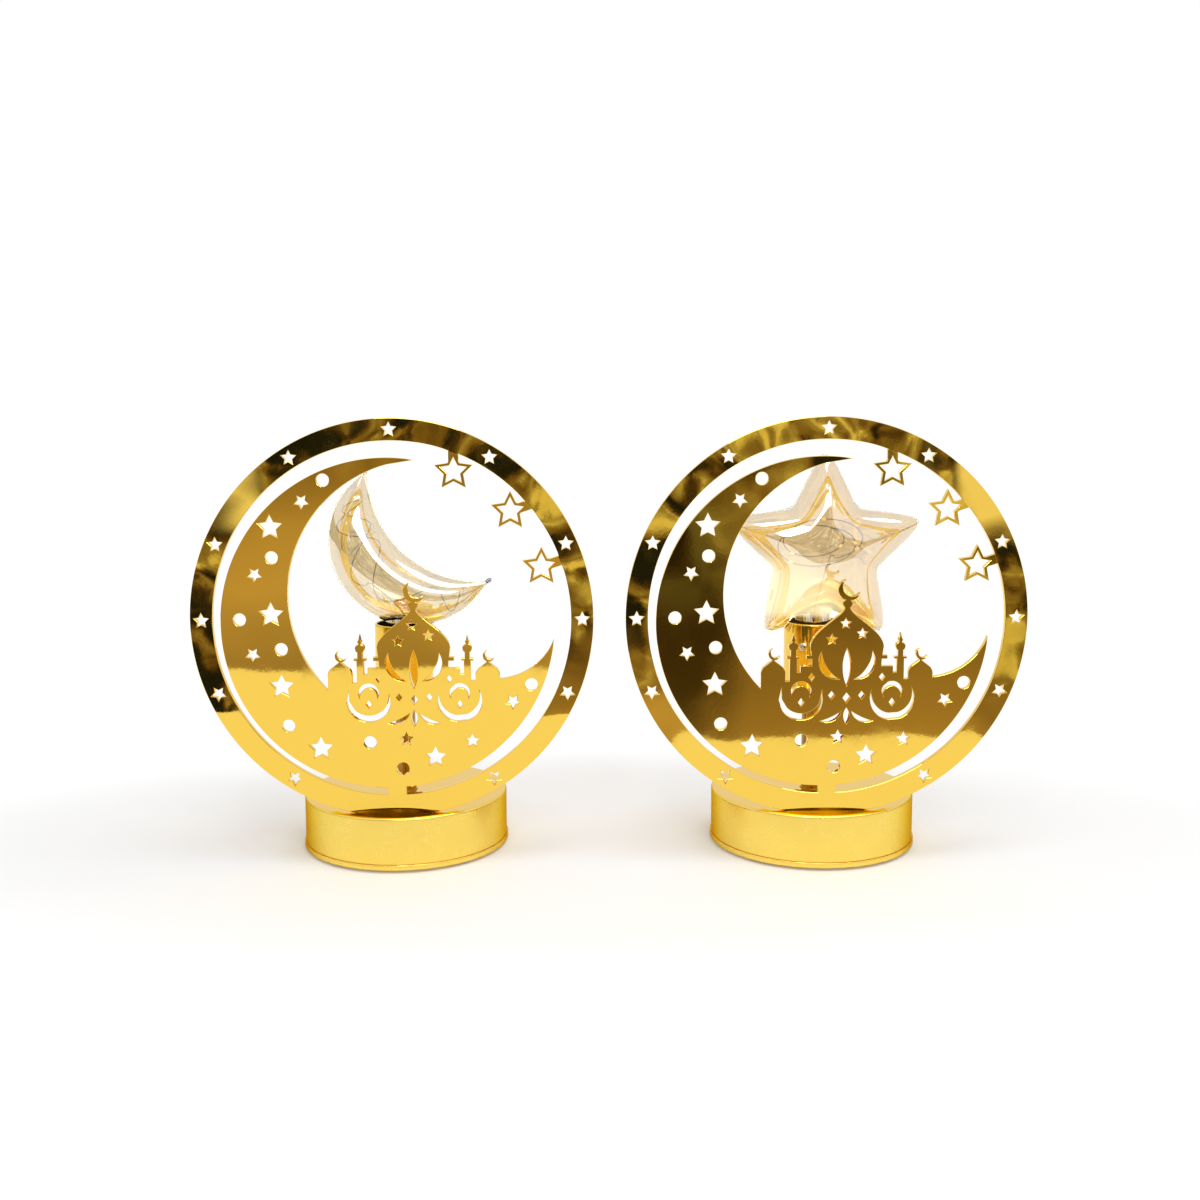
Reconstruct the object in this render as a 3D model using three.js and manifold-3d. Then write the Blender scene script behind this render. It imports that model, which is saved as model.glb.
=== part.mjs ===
// A pair of battery lit desk ornaments: two round mirror plates with a crescent, stars and a
// skyline cut out, each on a drum base with a glass bulb behind it, one a moon and one a star.
// Millimetres, +Z up, +X to the right, the fronts face -Y. The origin is on the table, midway
// between the two stands.
import * as THREE from 'three';
import { mergeVertices } from 'three/addons/utils/BufferGeometryUtils.js';
import Module from 'manifold-3d';

const wasm = await Module();
wasm.setup();

// The pair
const STAND_SPACING = 135;

// Clearances
const FIT = 0.15;
const SEAT_GAP = 0.3;
const CUT = 1;
const LAP = 1;

// Face plate, with u to the right and v up from the plate's centre
const PLATE_RADIUS = 62.5;
const PLATE_THICKNESS = 2;
const PLATE_SINK = 1.2;
const PLATE_SETBACK = 6.4;
const RING_WIDTH = 6.9;
const RING_STAR_ANGLES = [90, 58.6, 121.4, 23.65, 156.35, 0, 180];
const RING_STAR_LOW_ANGLES = [-23, 203, -58.05, 238.05];
const RING_STAR_RADIUS = 2.35;
const STAR_WAIST = 0.5;
const CRESCENT_CENTRE = [-1.3, -1.4];
const CRESCENT_RADIUS = 51.8;
const HOLLOW_CENTRE = [10.2, 7.3];
const HOLLOW_RADIUS = 42.4;
const HORN_CENTRE = [31.7, 1.2];
const HORN_RADIUS = 19.9;
const HORN_TIP_ANGLE = -14;
const BRIDGE_U = [-2, 3.5];
const ROUND_HOLE_RADIUS = 2;
const ROUND_HOLES = [[-20.5, 43.5], [-36.8, 19.6], [-47.2, 0.3], [-34.5, -9.1], [-32.8, -33.3],
  [-7.5, -38.7], [43.1, -20.5], [2.7, -47.1]];
const SMALL_STAR_RADIUS = 2.3;
const SMALL_STARS_UP = [[3.9, -37.7], [24.5, -38.4]];
const SMALL_STARS_DOWN = [[-27.2, 36.9], [-42.2, 14.3], [-43.4, -10.8], [37.3, -25.9]];
const LARGE_STAR_RADIUS = 3.9;
const LARGE_STARS = [[-37.1, 29], [-37.4, 1.8], [-34.7, -20.8], [-22.9, -40.6]];
const MEDIUM_STAR_RADIUS = 3.5;
const MEDIUM_STARS = [[12.9, -43.5]];
const HANGING_STARS = [[19.7, 46.1, 90], [37, 33.8, 18], [46.5, 16.5, 18]];
const HANGING_RADIUS = 6.25;
const HANGING_OPENING = 4.3;
const HANGING_NECK = 3.1;
const TAB_INNER_U = 4;
const TAB_OUTER_U = 11;
const TAB_DEPTH = 4;
const PLATE_SIDES = 56;
const WINDOW_SIDES = 48;
const SMALL_SIDES = 8;

// Skyline, as offsets to each side of its axis
const SKYLINE_U = 6.5;
const DOME_HALF_WIDTH = 11.4;
const DOME_WIDEST_V = -8.6;
const DOME_FOOT_HALF = 10.8;
const DOME_NECK_V = 2.9;
const DOME_NECK_HALF = 0.9;
const DOME_CURVE = { throat: [1.2, 0.9], shoulderV: -4.4, hipV: -11, ankleV: -12 };
const WALL_TOP_V = -15.1;
const WALL_HALF = 14.4;
const SHALLOW_NOTCH_V = -17.1;
const DEEP_NOTCH_V = -19.9;
const MINARET_U = 16.7;
const MINARET_HALF = 1.1;
const MINARET_UPPER_HALF = 0.82;
const MINARET_PIN_HALF = 0.45;
const BALCONY_V = -12.5;
const BALCONY_HALF = 1.95;
const BALCONY_THICKNESS = 0.7;
const MINARET_BALL_V = -9;
const MINARET_BALL_RADIUS = 1.5;
const MINARET_BEAD_V = -6.9;
const MINARET_BEAD_RADIUS = 0.75;
const SPIRE_TIP_V = -4.6;
const SIDE_DOME_U = 23;
const SIDE_DOME_HALF = 3.8;
const SIDE_DOME_EAVE_V = -17.2;
const SIDE_DOME_APEX_V = -13.3;
const SIDE_DOME_PIN_HALF = 0.35;
const SIDE_DOME_CURVE = { throat: [1.2, -14.4], shoulderV: -15 };
const SKYLINE_DEPTH_V = -25;
const BRACKET_REACH = 1.2;
const BRACKET_V = [-12.9, -11.7];
const FINIAL_BALL_V = 4.5;
const FINIAL_BALL_RADIUS = 1.5;
const FINIAL_MOON = { centre: [0.5, 8.8], radius: 3.45 };
const SIDE_MOON = { centre: [0.35, -11.4], radius: 1.85 };
const MOON_BITE = { shift: 0.38, size: 0.86, angle: 47 };
const DOME_STARS = [[-0.5, -1.7], [-4.8, -6.7], [4.7, -4.9]];
const DOME_STAR_RADIUS = 1.7;

// Scroll under the dome: lozenges as [u, v, half width, half height], leaves as arcs that swell
const SCROLL_MIDDLE = [[0, -15.6, 1.3, 6], [0, -25.2, 1.2, 1.6], [0, -31, 0.9, 2.6]];
const SCROLL_SIDE = [[4.7, -24.4, 1, 1.3], [14.2, -26.6, 0.9, 1.3], [11, -18.6, 0.9, 1.2]];
const SCROLL_LEAVES = [
  { centre: [1.2, -12.4], radius: 7, from: -80, to: 15, width: 2, steps: 4 },
  { centre: [14.2, -24.6], radius: 6.6, from: 168, to: 380, width: 2.1, steps: 7 },
  { centre: [14.2, -23.6], radius: 2.9, from: 200, to: -20, width: 1.5, steps: 5 },
  { centre: [7.4, -25.6], radius: 7, from: 214, to: 276, width: 1.4, steps: 3 },
];

// Base drum, its cover and what the cover carries
const BASE_ROOM = 1.37;
const BASE_TOP = 17.4;
const SHELL_WALL = 1.6;
const SHELL_TOP_WALL = 1.8;
const SHELL_EDGE = 0.6;
const BASE_SIDES = 40;
const FOOT_HEIGHT = 1;
const FOOT_RADIUS = 3;
const FOOT_INSET = 2.3;
const FOOT_ANGLES = [-52, -128, 52, 128];
const COVER_THICKNESS = 1.6;
const COVER_OVERHANG = 0.4;
const LOCATING_RING_HEIGHT = 2;
const LOCATING_RING_WALL = 1.4;
const SCREW_ANGLES = [22, 158, -22, -158];
const SCREW_RADIUS = 1;
const SCREW_LENGTH = 6;
const SCREW_HEAD_RADIUS = 1.9;
const SCREW_HEAD_HEIGHT = 0.8;
const SCREW_SLOT = [2.4, 0.5];
const FOOT_CHAMFER = 0.3;
const BOSS_RADIUS = 2.6;
const BOSS_INSET = 2.5;

// Battery bay, its door and its two cells
const CELL_RADIUS = 5.2;
const CELL_LENGTH = 44.5;
const CELL_NIB_RADIUS = 1.9;
const CELL_NIB_HEIGHT = 1;
const CELL_GAP = 0.6;
const CELL_LIFT = 0.25;
const CONTACT_SPACE = 1.6;
const BAY_CENTRE_Y = 2.4;
const BAY_WALL = 1;
const BAY_ROOF = 1;
const BAY_TROUGH_HALF = 2.4;
const DOOR_THICKNESS = 1.4;
const DOOR_TONGUE = 0.8;
const DOOR_TONGUE_HEIGHT = 0.5;
const DOOR_GRIPS = 3;
const DOOR_GRIP_DEPTH = 0.5;
const CONTACT_SHEET = 0.4;
const CONTACT_HALF_WIDTH = 4.2;
const CONTACT_SPRING_HALF = 1.5;
const GRIP_HALF_WIDTH = 6;
const GRIP_WIDTH = 1.2;
const GRIP_PITCH = 3;
const GRIP_INSET = 4;
const TABLE_CLEAR = 0.5;

// Bracket that holds the plate's tabs under the base top
const HOLDER_WALL = 1.3;
const HOLDER_WAY_HALF = 2.8;

// Switch and circuit board
const SWITCH_BESIDE_BAY = 8;
const SWITCH_SIZE = [5, 9.4, 4];
const SWITCH_TRAVEL = 3;
const KNOB_SIZE = [1.8, 2];
const KNOB_FLANGE = [2.6, 3.2, 1.2];
const SWITCH_PIN = [0.8, 0.6, 1.5];
const SWITCH_PIN_PITCH = 2.5;
const BOARD_BESIDE_BAY = 7.6;
const BOARD_SIZE = [6.4, 14, 1.2];
const BOARD_POST_HEIGHT = 2;
const BOARD_POST = [4, 2];
const BOARD_POST_Y = 5;
const CHIP = { size: [3, 5, 1.2], y: -2 };
const RESISTOR = { radius: 0.9, y: [2.2, 6] };

// Lamp
const STEM_RADIUS = 3.3;
const STEM_BORE = 2.2;
const STEM_SIDES = 20;
const BORE_SIDES = 12;
const NUT_HEIGHT = 1.2;
const NUT_RADIUS = 5.5;
const CUP_RADIUS = 9.5;
const CUP_WALL = 0.9;
const CUP_FLOOR = 1.4;
const CUP_BOTTOM = 51.5;
const CUP_TOP = 73.6;
const CUP_CHAMFER = 0.8;
const CUP_SIDES = 24;
const CUP_SCREW_Z = 66.3;
const CUP_SCREW_ANGLE = -117;
const CUP_SCREW_RADIUS = 0.8;
const CUP_SCREW_HEAD = { radius: 1.4, lift: 0.3, top: 1.2 };
const PLUG_HEIGHT = 5;
const PLUG_SPIGOT = 5;
const PLUG_BORE = 0.8;
const NECK_RADIUS = 6;
const GLASS = 1;
const MOON_OUTER = { centre: [3.7, 100.5], radius: 28 };
const MOON_INNER = { centre: [24, 122.3], radius: 34.8 };
const MOON_TIP_RADIUS = 1.6;
const MOON_DEPTH_RATIO = 0.86;
const MOON_ENDS = 0.04;
const MOON_NECK_TOP = 80;
const STAR_CENTRE = [3.6, 96.4];
const STAR_POINT = 37.5;
const STAR_NOTCH = 17.6;
const STAR_POINT_ROUNDING = 4.5;
const STAR_NOTCH_ROUNDING = 5;
const STAR_HALF_DEPTH = 12;
const STAR_SLOPES = [0.4, 0.75, 0.94];
const STAR_NECK_TOP = 84;
const WIRE_RADIUS = 0.3;
const BEAD_SIZE = [1.1, 1.1, 2];
const LEAD_RADIUS = 0.5;
const MOON_WIRE = { steps: 26, turns: 5, middle: 0.52, reach: 0.36, swing: 0.27, depth: 0.8 };
const STAR_WIRE = {
  steps: 30, from: -70, sweep: 720, reach: 0.42, ripple: 0.2, ripples: 3.5, depth: 4.5, waves: 2.5,
};
const MOON_BEADS = [0.12, 0.25, 0.4, 0.55, 0.7, 0.85];
const STAR_BEADS = [0.1, 0.22, 0.36, 0.5, 0.64, 0.78, 0.92];

// Values that follow from the sizes above
const COVER_TOP = FOOT_HEIGHT + COVER_THICKNESS;
const CEILING = BASE_TOP - SHELL_TOP_WALL;
const CELL_X = CELL_RADIUS + CELL_GAP / 2;
const DOOR_TOP = FOOT_HEIGHT + DOOR_THICKNESS;
const CELL_Z = DOOR_TOP + CELL_LIFT + CELL_RADIUS;
const BAY_HALF_WIDTH = CELL_X + CELL_RADIUS + SEAT_GAP;
const BAY_HALF_LENGTH = (CELL_LENGTH + CELL_NIB_HEIGHT) / 2 + CONTACT_SPACE;
const BAY_FRONT = BAY_CENTRE_Y - BAY_HALF_LENGTH;
const BAY_BACK = BAY_CENTRE_Y + BAY_HALF_LENGTH;
const BAY_CEILING = CELL_Z + CELL_RADIUS + FIT;
const BAY_SIDE = BAY_HALF_WIDTH + BAY_WALL;
const SHELL_INNER = Math.hypot(BAY_SIDE, BAY_BACK + BAY_WALL) + BASE_ROOM;
const BASE_RADIUS = SHELL_INNER + SHELL_WALL;
const COVER_RIM = BASE_RADIUS + COVER_OVERHANG;
const TONGUE_Z = (FOOT_HEIGHT + COVER_TOP) / 2;
const SWITCH_X = BAY_SIDE + SWITCH_BESIDE_BAY;
const BOARD_X = -BAY_SIDE - BOARD_BESIDE_BAY;
const PLATE_CENTRE_Z = BASE_TOP + PLATE_RADIUS - PLATE_SINK;
const PLATE_FRONT_Y = PLATE_SETBACK - BASE_RADIUS;
const PLATE_BACK_Y = PLATE_FRONT_Y + PLATE_THICKNESS;
const RING_INNER = PLATE_RADIUS - RING_WIDTH;
const STEM_BOTTOM = CEILING - NUT_HEIGHT;
const CUP_INNER = CUP_RADIUS - CUP_WALL;
const PLUG_BOTTOM = CUP_BOTTOM + CUP_FLOOR;
const PLUG_SHOULDER = PLUG_BOTTOM + PLUG_HEIGHT;
const STEM_TOP = PLUG_BOTTOM + PLUG_HEIGHT / 2;
const LEAD_TOP = STEM_TOP - 1;
const SCREW_AT = ringOf(SCREW_ANGLES, SHELL_INNER - BOSS_RADIUS - BOSS_INSET);
const FOOT_AT = ringOf(FOOT_ANGLES, BASE_RADIUS - FOOT_RADIUS - FOOT_INSET);

const FINISH = {
  plate: { color: 0xd9a520, roughness: 0.12, metalness: 1 },
  plating: { color: 0xe0b13a, roughness: 0.22, metalness: 1 },
  glass: { color: 0xe9cf95, roughness: 0.05, metalness: 0, transparent: true, opacity: 0.45 },
  white: { color: 0xe8e4d8, roughness: 0.5, metalness: 0 },
  black: { color: 0x1c1b1a, roughness: 0.55, metalness: 0 },
  steel: { color: 0xb9bcc0, roughness: 0.3, metalness: 1 },
  cell: { color: 0x3c5a46, roughness: 0.4, metalness: 0.2 },
  rubber: { color: 0x2a2a2a, roughness: 0.8, metalness: 0 },
  copper: { color: 0xb8743a, roughness: 0.35, metalness: 1 },
  board: { color: 0x2f6b3d, roughness: 0.6, metalness: 0 },
  lead: { color: 0xa8261c, roughness: 0.5, metalness: 0 },
};

// Joining and cutting
function toSolid(geometry) {
  let bare = geometry.index ? geometry.toNonIndexed() : geometry.clone();
  for (const name of Object.keys(bare.attributes)) {
    if (name !== 'position') bare.deleteAttribute(name);
  }
  bare = mergeVertices(bare, 1e-5);
  const points = bare.attributes.position.array;
  const corners = closedTriangles(bare.index.array);
  const mesh = new wasm.Mesh({
    numProp: 3,
    vertProperties: new Float32Array(points),
    triVerts: new Uint32Array(outward(points, corners)),
  });
  return new wasm.Manifold(mesh);
}

function closedTriangles(corners) {
  const kept = [];
  for (let i = 0; i < corners.length; i += 3) {
    const [a, b, c] = [corners[i], corners[i + 1], corners[i + 2]];
    if (a !== b && b !== c && c !== a) kept.push(a, b, c);
  }
  return kept;
}

function outward(points, corners) {
  const at = (i) => new THREE.Vector3().fromArray(points, 3 * i);
  let volume = 0;
  for (let i = 0; i < corners.length; i += 3) {
    volume += at(corners[i]).dot(at(corners[i + 1]).cross(at(corners[i + 2])));
  }
  return volume < 0 ? corners.slice().reverse() : corners;
}

function toGeometry(solid) {
  const mesh = solid.getMesh();
  const geometry = new THREE.BufferGeometry();
  const points = new Float32Array((mesh.vertProperties.length / mesh.numProp) * 3);
  for (let i = 0; i < points.length / 3; i += 1) {
    points.set(mesh.vertProperties.subarray(i * mesh.numProp, i * mesh.numProp + 3), i * 3);
  }
  geometry.setAttribute('position', new THREE.BufferAttribute(points, 3));
  geometry.setIndex(Array.from(mesh.triVerts));
  geometry.computeVertexNormals();
  return geometry;
}

function join(solids) {
  return solids.reduce((all, next) => all.add(next));
}

function cut(solid, cutters) {
  return cutters.reduce((rest, cutter) => rest.subtract(cutter), solid);
}

// Simple solids
function block(x0, x1, y0, y1, z0, z1) {
  const geometry = new THREE.BoxGeometry(x1 - x0, y1 - y0, z1 - z0);
  geometry.translate((x0 + x1) / 2, (y0 + y1) / 2, (z0 + z1) / 2);
  return toSolid(geometry);
}

function post(radius, z0, z1, sides = 24, x = 0, y = 0) {
  const geometry = new THREE.CylinderGeometry(radius, radius, z1 - z0, sides);
  geometry.rotateX(Math.PI / 2);
  geometry.translate(x, y, (z0 + z1) / 2);
  return toSolid(geometry);
}

function barrel(radius, y0, y1, sides, x, z) {
  const geometry = new THREE.CylinderGeometry(radius, radius, y1 - y0, sides);
  geometry.translate(x, (y0 + y1) / 2, z);
  return toSolid(geometry);
}

function turned(profile, sides) {
  const points = profile.map(([r, z]) => new THREE.Vector2(r, z));
  const geometry = new THREE.LatheGeometry(points, sides);
  geometry.rotateX(Math.PI / 2);
  return toSolid(geometry);
}

function tube(points, radius, sides, steps) {
  const curve = new THREE.CatmullRomCurve3(points.map((p) => new THREE.Vector3(...p)));
  const section = new THREE.Shape(circlePoints(0, 0, radius, sides));
  const options = { steps, bevelEnabled: false, extrudePath: curve };
  return toSolid(new THREE.ExtrudeGeometry(section, options));
}

// Flat outlines
function turn(degrees) {
  return THREE.MathUtils.degToRad(degrees);
}

function polar(cx, cy, radius, degrees) {
  const angle = turn(degrees);
  return new THREE.Vector2(cx + radius * Math.cos(angle), cy + radius * Math.sin(angle));
}

function arcPoints(cx, cy, radius, from, to, steps) {
  const points = [];
  for (let i = 0; i <= steps; i += 1) {
    points.push(polar(cx, cy, radius, from + ((to - from) * i) / steps));
  }
  return points;
}

function circlePoints(cx, cy, radius, sides) {
  return arcPoints(cx, cy, radius, 0, 360, sides).slice(0, sides);
}

function starPoints(cx, cy, radius, up = true, waist = STAR_WAIST) {
  const first = up ? 90 : -90;
  const points = [];
  for (let i = 0; i < 10; i += 1) {
    points.push(polar(cx, cy, i % 2 ? radius * waist : radius, first + 36 * i));
  }
  return points;
}

function leafPoints(cx, cy, radius, from, to, width, steps) {
  const side = (sign) => {
    const points = [];
    for (let i = 0; i <= steps; i += 1) {
      const swell = (width / 2) * Math.sin((Math.PI * i) / steps);
      points.push(polar(cx, cy, radius + sign * swell, from + ((to - from) * i) / steps));
    }
    return points;
  };
  return [...side(1), ...side(-1).reverse().slice(1, -1)];
}

function lozengePoints(cx, cy, halfWidth, halfHeight) {
  const corners = [[0, halfHeight], [-halfWidth, 0], [0, -halfHeight], [halfWidth, 0]];
  return corners.map(([x, y]) => new THREE.Vector2(cx + x, cy + y));
}

function ringOf(angles, radius) {
  return angles.map((angle) => polar(0, 0, radius, angle).toArray());
}

function circlesMeet(a, b, side) {
  const gap = new THREE.Vector2(b.centre[0] - a.centre[0], b.centre[1] - a.centre[1]);
  const span = gap.length();
  const along = (a.radius ** 2 - b.radius ** 2 + span ** 2) / (2 * span);
  const across = side * Math.sqrt(a.radius ** 2 - along ** 2);
  gap.normalize();
  return new THREE.Vector2(
    a.centre[0] + along * gap.x - across * gap.y,
    a.centre[1] + along * gap.y + across * gap.x,
  );
}

function angleFrom(circle, point) {
  const angle = Math.atan2(point.y - circle.centre[1], point.x - circle.centre[0]);
  return THREE.MathUtils.radToDeg(angle);
}

function sheet(points, extra = 0) {
  const depth = PLATE_THICKNESS + 2 * extra;
  const geometry = new THREE.ExtrudeGeometry(new THREE.Shape(points), { depth, bevelEnabled: false });
  geometry.translate(0, 0, -extra);
  return toSolid(geometry);
}

function sheetBox(u0, u1, v0, v1) {
  return sheet([[u0, v0], [u1, v0], [u1, v1], [u0, v1]].map(([u, v]) => new THREE.Vector2(u, v)));
}

// The two numbers of a span, lower first
function span(a, b) {
  return [Math.min(a, b), Math.max(a, b)];
}

// Face plate
function hollowOutline() {
  const leftReach = HOLLOW_CENTRE[0] - (SKYLINE_U - SIDE_DOME_U - SIDE_DOME_HALF);
  const leftFoot = 180 + THREE.MathUtils.radToDeg(Math.acos(leftReach / HOLLOW_RADIUS));
  const rightReach = SKYLINE_U + SIDE_DOME_U + SIDE_DOME_HALF - HORN_CENTRE[0];
  const hornFoot = -THREE.MathUtils.radToDeg(Math.acos(rightReach / HORN_RADIUS));
  return [
    ...arcPoints(...HOLLOW_CENTRE, HOLLOW_RADIUS, leftFoot, HORN_TIP_ANGLE, 20),
    ...arcPoints(...HORN_CENTRE, HORN_RADIUS, HORN_TIP_ANGLE, hornFoot, 6),
  ];
}

function moonFinial(u, moon) {
  const [cu, cv] = [u + moon.centre[0], moon.centre[1]];
  const bite = polar(cu, cv, moon.radius * MOON_BITE.shift, MOON_BITE.angle);
  const outer = sheet(circlePoints(cu, cv, moon.radius, 12));
  return outer.subtract(sheet(circlePoints(bite.x, bite.y, moon.radius * MOON_BITE.size, 12), CUT));
}

function domeOutline() {
  const path = new THREE.Path();
  path.moveTo(DOME_NECK_HALF, FINIAL_BALL_V);
  path.lineTo(DOME_NECK_HALF, DOME_NECK_V);
  const { throat, shoulderV, hipV, ankleV } = DOME_CURVE;
  path.bezierCurveTo(...throat, DOME_HALF_WIDTH, shoulderV, DOME_HALF_WIDTH, DOME_WIDEST_V);
  path.bezierCurveTo(DOME_HALF_WIDTH, hipV, DOME_FOOT_HALF, ankleV, DOME_FOOT_HALF, WALL_TOP_V);
  path.lineTo(DOME_FOOT_HALF, WALL_TOP_V - LAP);
  return bothSides(path.getPoints(5));
}

function sideDomeOutline(u) {
  const path = new THREE.Path();
  const { throat, shoulderV } = SIDE_DOME_CURVE;
  path.moveTo(SIDE_DOME_PIN_HALF, SIDE_DOME_APEX_V + SIDE_DOME_PIN_HALF);
  path.lineTo(SIDE_DOME_PIN_HALF, SIDE_DOME_APEX_V);
  path.bezierCurveTo(...throat, SIDE_DOME_HALF, shoulderV, SIDE_DOME_HALF, SIDE_DOME_EAVE_V);
  path.lineTo(SIDE_DOME_HALF, SIDE_DOME_EAVE_V - LAP);
  return bothSides(path.getPoints(3)).map((p) => new THREE.Vector2(p.x + u - SKYLINE_U, p.y));
}

function bothSides(points) {
  const right = points.map((p) => new THREE.Vector2(SKYLINE_U + p.x, p.y));
  const left = points.map((p) => new THREE.Vector2(SKYLINE_U - p.x, p.y));
  return [...left.reverse(), ...right].reverse();
}

function groundOutline() {
  const minaretOuter = MINARET_U + MINARET_HALF;
  const sideInner = SIDE_DOME_U - SIDE_DOME_HALF;
  const sideOuter = SIDE_DOME_U + SIDE_DOME_HALF;
  const steps = [
    [WALL_HALF, WALL_TOP_V], [WALL_HALF, SHALLOW_NOTCH_V],
    [minaretOuter, SHALLOW_NOTCH_V], [minaretOuter, DEEP_NOTCH_V],
    [sideInner, DEEP_NOTCH_V], [sideInner, SIDE_DOME_EAVE_V],
    [sideOuter, SIDE_DOME_EAVE_V], [sideOuter, SKYLINE_DEPTH_V],
  ];
  return bothSides(steps.map(([u, v]) => new THREE.Vector2(u, v)));
}

function minaret(u) {
  const bar = (half, low, high) => sheetBox(u - half, u + half, low, high);
  const ball = (radius, v, sides) => sheet(circlePoints(u, v, radius, sides));
  const spire = [[-MINARET_PIN_HALF, MINARET_BEAD_V], [MINARET_PIN_HALF, MINARET_BEAD_V], [0, SPIRE_TIP_V]];
  return join([
    bar(MINARET_HALF, SHALLOW_NOTCH_V - LAP, BALCONY_V),
    bar(BALCONY_HALF, BALCONY_V - BALCONY_THICKNESS / 2, BALCONY_V + BALCONY_THICKNESS / 2),
    bar(MINARET_UPPER_HALF, BALCONY_V, MINARET_BALL_V),
    ball(MINARET_BALL_RADIUS, MINARET_BALL_V, SMALL_SIDES),
    bar(MINARET_PIN_HALF, MINARET_BALL_V, MINARET_BEAD_V),
    ball(MINARET_BEAD_RADIUS, MINARET_BEAD_V, 6),
    sheet(spire.map(([du, v]) => new THREE.Vector2(u + du, v))),
  ]);
}

function skyline() {
  const bracketHalf = DOME_HALF_WIDTH + BRACKET_REACH;
  const pieces = [
    sheet(groundOutline()),
    sheet(domeOutline()),
    sheet(circlePoints(SKYLINE_U, FINIAL_BALL_V, FINIAL_BALL_RADIUS, 10)),
    moonFinial(SKYLINE_U, FINIAL_MOON),
    sheetBox(SKYLINE_U - bracketHalf, SKYLINE_U + bracketHalf, ...BRACKET_V),
  ];
  for (const side of [-1, 1]) {
    pieces.push(minaret(SKYLINE_U + side * MINARET_U));
    pieces.push(sheet(sideDomeOutline(SKYLINE_U + side * SIDE_DOME_U)));
    pieces.push(moonFinial(SKYLINE_U + side * SIDE_DOME_U, SIDE_MOON));
  }
  return join(pieces);
}

function hangingStar([u, v, armAngle]) {
  const arm = polar(0, 0, 1, armAngle);
  const across = new THREE.Vector2(-arm.y, arm.x).multiplyScalar(HANGING_NECK / 2);
  const reach = PLATE_RADIUS - Math.hypot(u, v) + HANGING_RADIUS;
  const near = new THREE.Vector2(u, v).addScaledVector(arm, HANGING_RADIUS * STAR_WAIST);
  const far = new THREE.Vector2(u, v).addScaledVector(arm, reach);
  const neck = [
    near.clone().sub(across), far.clone().sub(across),
    far.clone().add(across), near.clone().add(across),
  ];
  const inner = sheet(circlePoints(0, 0, RING_INNER + RING_WIDTH / 2, 16));
  return sheet(starPoints(u, v, HANGING_RADIUS)).add(sheet(neck).intersect(inner));
}

function starCutters() {
  const cutters = [];
  const add = (list, radius, up) => {
    for (const [u, v] of list) cutters.push(sheet(starPoints(u, v, radius, up), CUT));
  };
  const ringMiddle = PLATE_RADIUS - RING_WIDTH / 2;
  add(ringOf(RING_STAR_ANGLES, ringMiddle), RING_STAR_RADIUS, true);
  add(ringOf(RING_STAR_LOW_ANGLES, ringMiddle), RING_STAR_RADIUS, false);
  add(SMALL_STARS_UP, SMALL_STAR_RADIUS, true);
  add(SMALL_STARS_DOWN, SMALL_STAR_RADIUS, false);
  add(LARGE_STARS, LARGE_STAR_RADIUS, true);
  add(MEDIUM_STARS, MEDIUM_STAR_RADIUS, true);
  add(HANGING_STARS, HANGING_OPENING, true);
  add(DOME_STARS.map(([u, v]) => [SKYLINE_U + u, v]), DOME_STAR_RADIUS, true);
  return cutters;
}

// A mirrored scroll of leaves and lozenges under the dome
function scrollCutters() {
  const outlines = SCROLL_MIDDLE.map(([u, v, ...halves]) => lozengePoints(SKYLINE_U + u, v, ...halves));
  for (const side of [-1, 1]) {
    const mirror = (degrees) => (side > 0 ? degrees : 180 - degrees);
    for (const { centre: [u, v], radius, from, to, width, steps } of SCROLL_LEAVES) {
      const centreU = SKYLINE_U + side * u;
      outlines.push(leafPoints(centreU, v, radius, mirror(from), mirror(to), width, steps));
    }
    for (const [u, v, ...halves] of SCROLL_SIDE) {
      outlines.push(lozengePoints(SKYLINE_U + side * u, v, ...halves));
    }
  }
  return outlines.map((points) => sheet(points, CUT));
}

function plateTab(side) {
  const edges = span(side * TAB_INNER_U, side * TAB_OUTER_U);
  const top = -Math.sqrt(PLATE_RADIUS ** 2 - TAB_OUTER_U ** 2) + RING_WIDTH / 3;
  return sheetBox(...edges, -(PLATE_RADIUS - PLATE_SINK + TAB_DEPTH), top);
}

function facePlate() {
  const hollow = sheet(hollowOutline(), CUT);
  const crescent = sheet(circlePoints(...CRESCENT_CENTRE, CRESCENT_RADIUS, WINDOW_SIDES)).subtract(hollow);
  const bridge = sheetBox(...BRIDGE_U, -PLATE_RADIUS + RING_WIDTH / 2, -CRESCENT_RADIUS + 2 * LAP);
  const art = join([crescent, skyline(), bridge, ...HANGING_STARS.map(hangingStar)]);
  const window = sheet(circlePoints(0, 0, RING_INNER, WINDOW_SIDES), CUT).subtract(art);
  const rounds = ROUND_HOLES.map(([u, v]) => sheet(circlePoints(u, v, ROUND_HOLE_RADIUS, SMALL_SIDES), CUT));
  const disc = sheet(circlePoints(0, 0, PLATE_RADIUS, PLATE_SIDES));
  const blank = join([disc, plateTab(-1), plateTab(1)]);
  const plate = cut(blank, [window, ...rounds, ...starCutters(), ...scrollCutters()]);
  return plate.rotate([90, 0, 0]).translate([0, PLATE_BACK_Y, PLATE_CENTRE_Z]);
}

// Base
function atScrews(radius, z0, z1) {
  return SCREW_AT.map(([x, y]) => post(radius, z0, z1, SMALL_SIDES, x, y));
}

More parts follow.
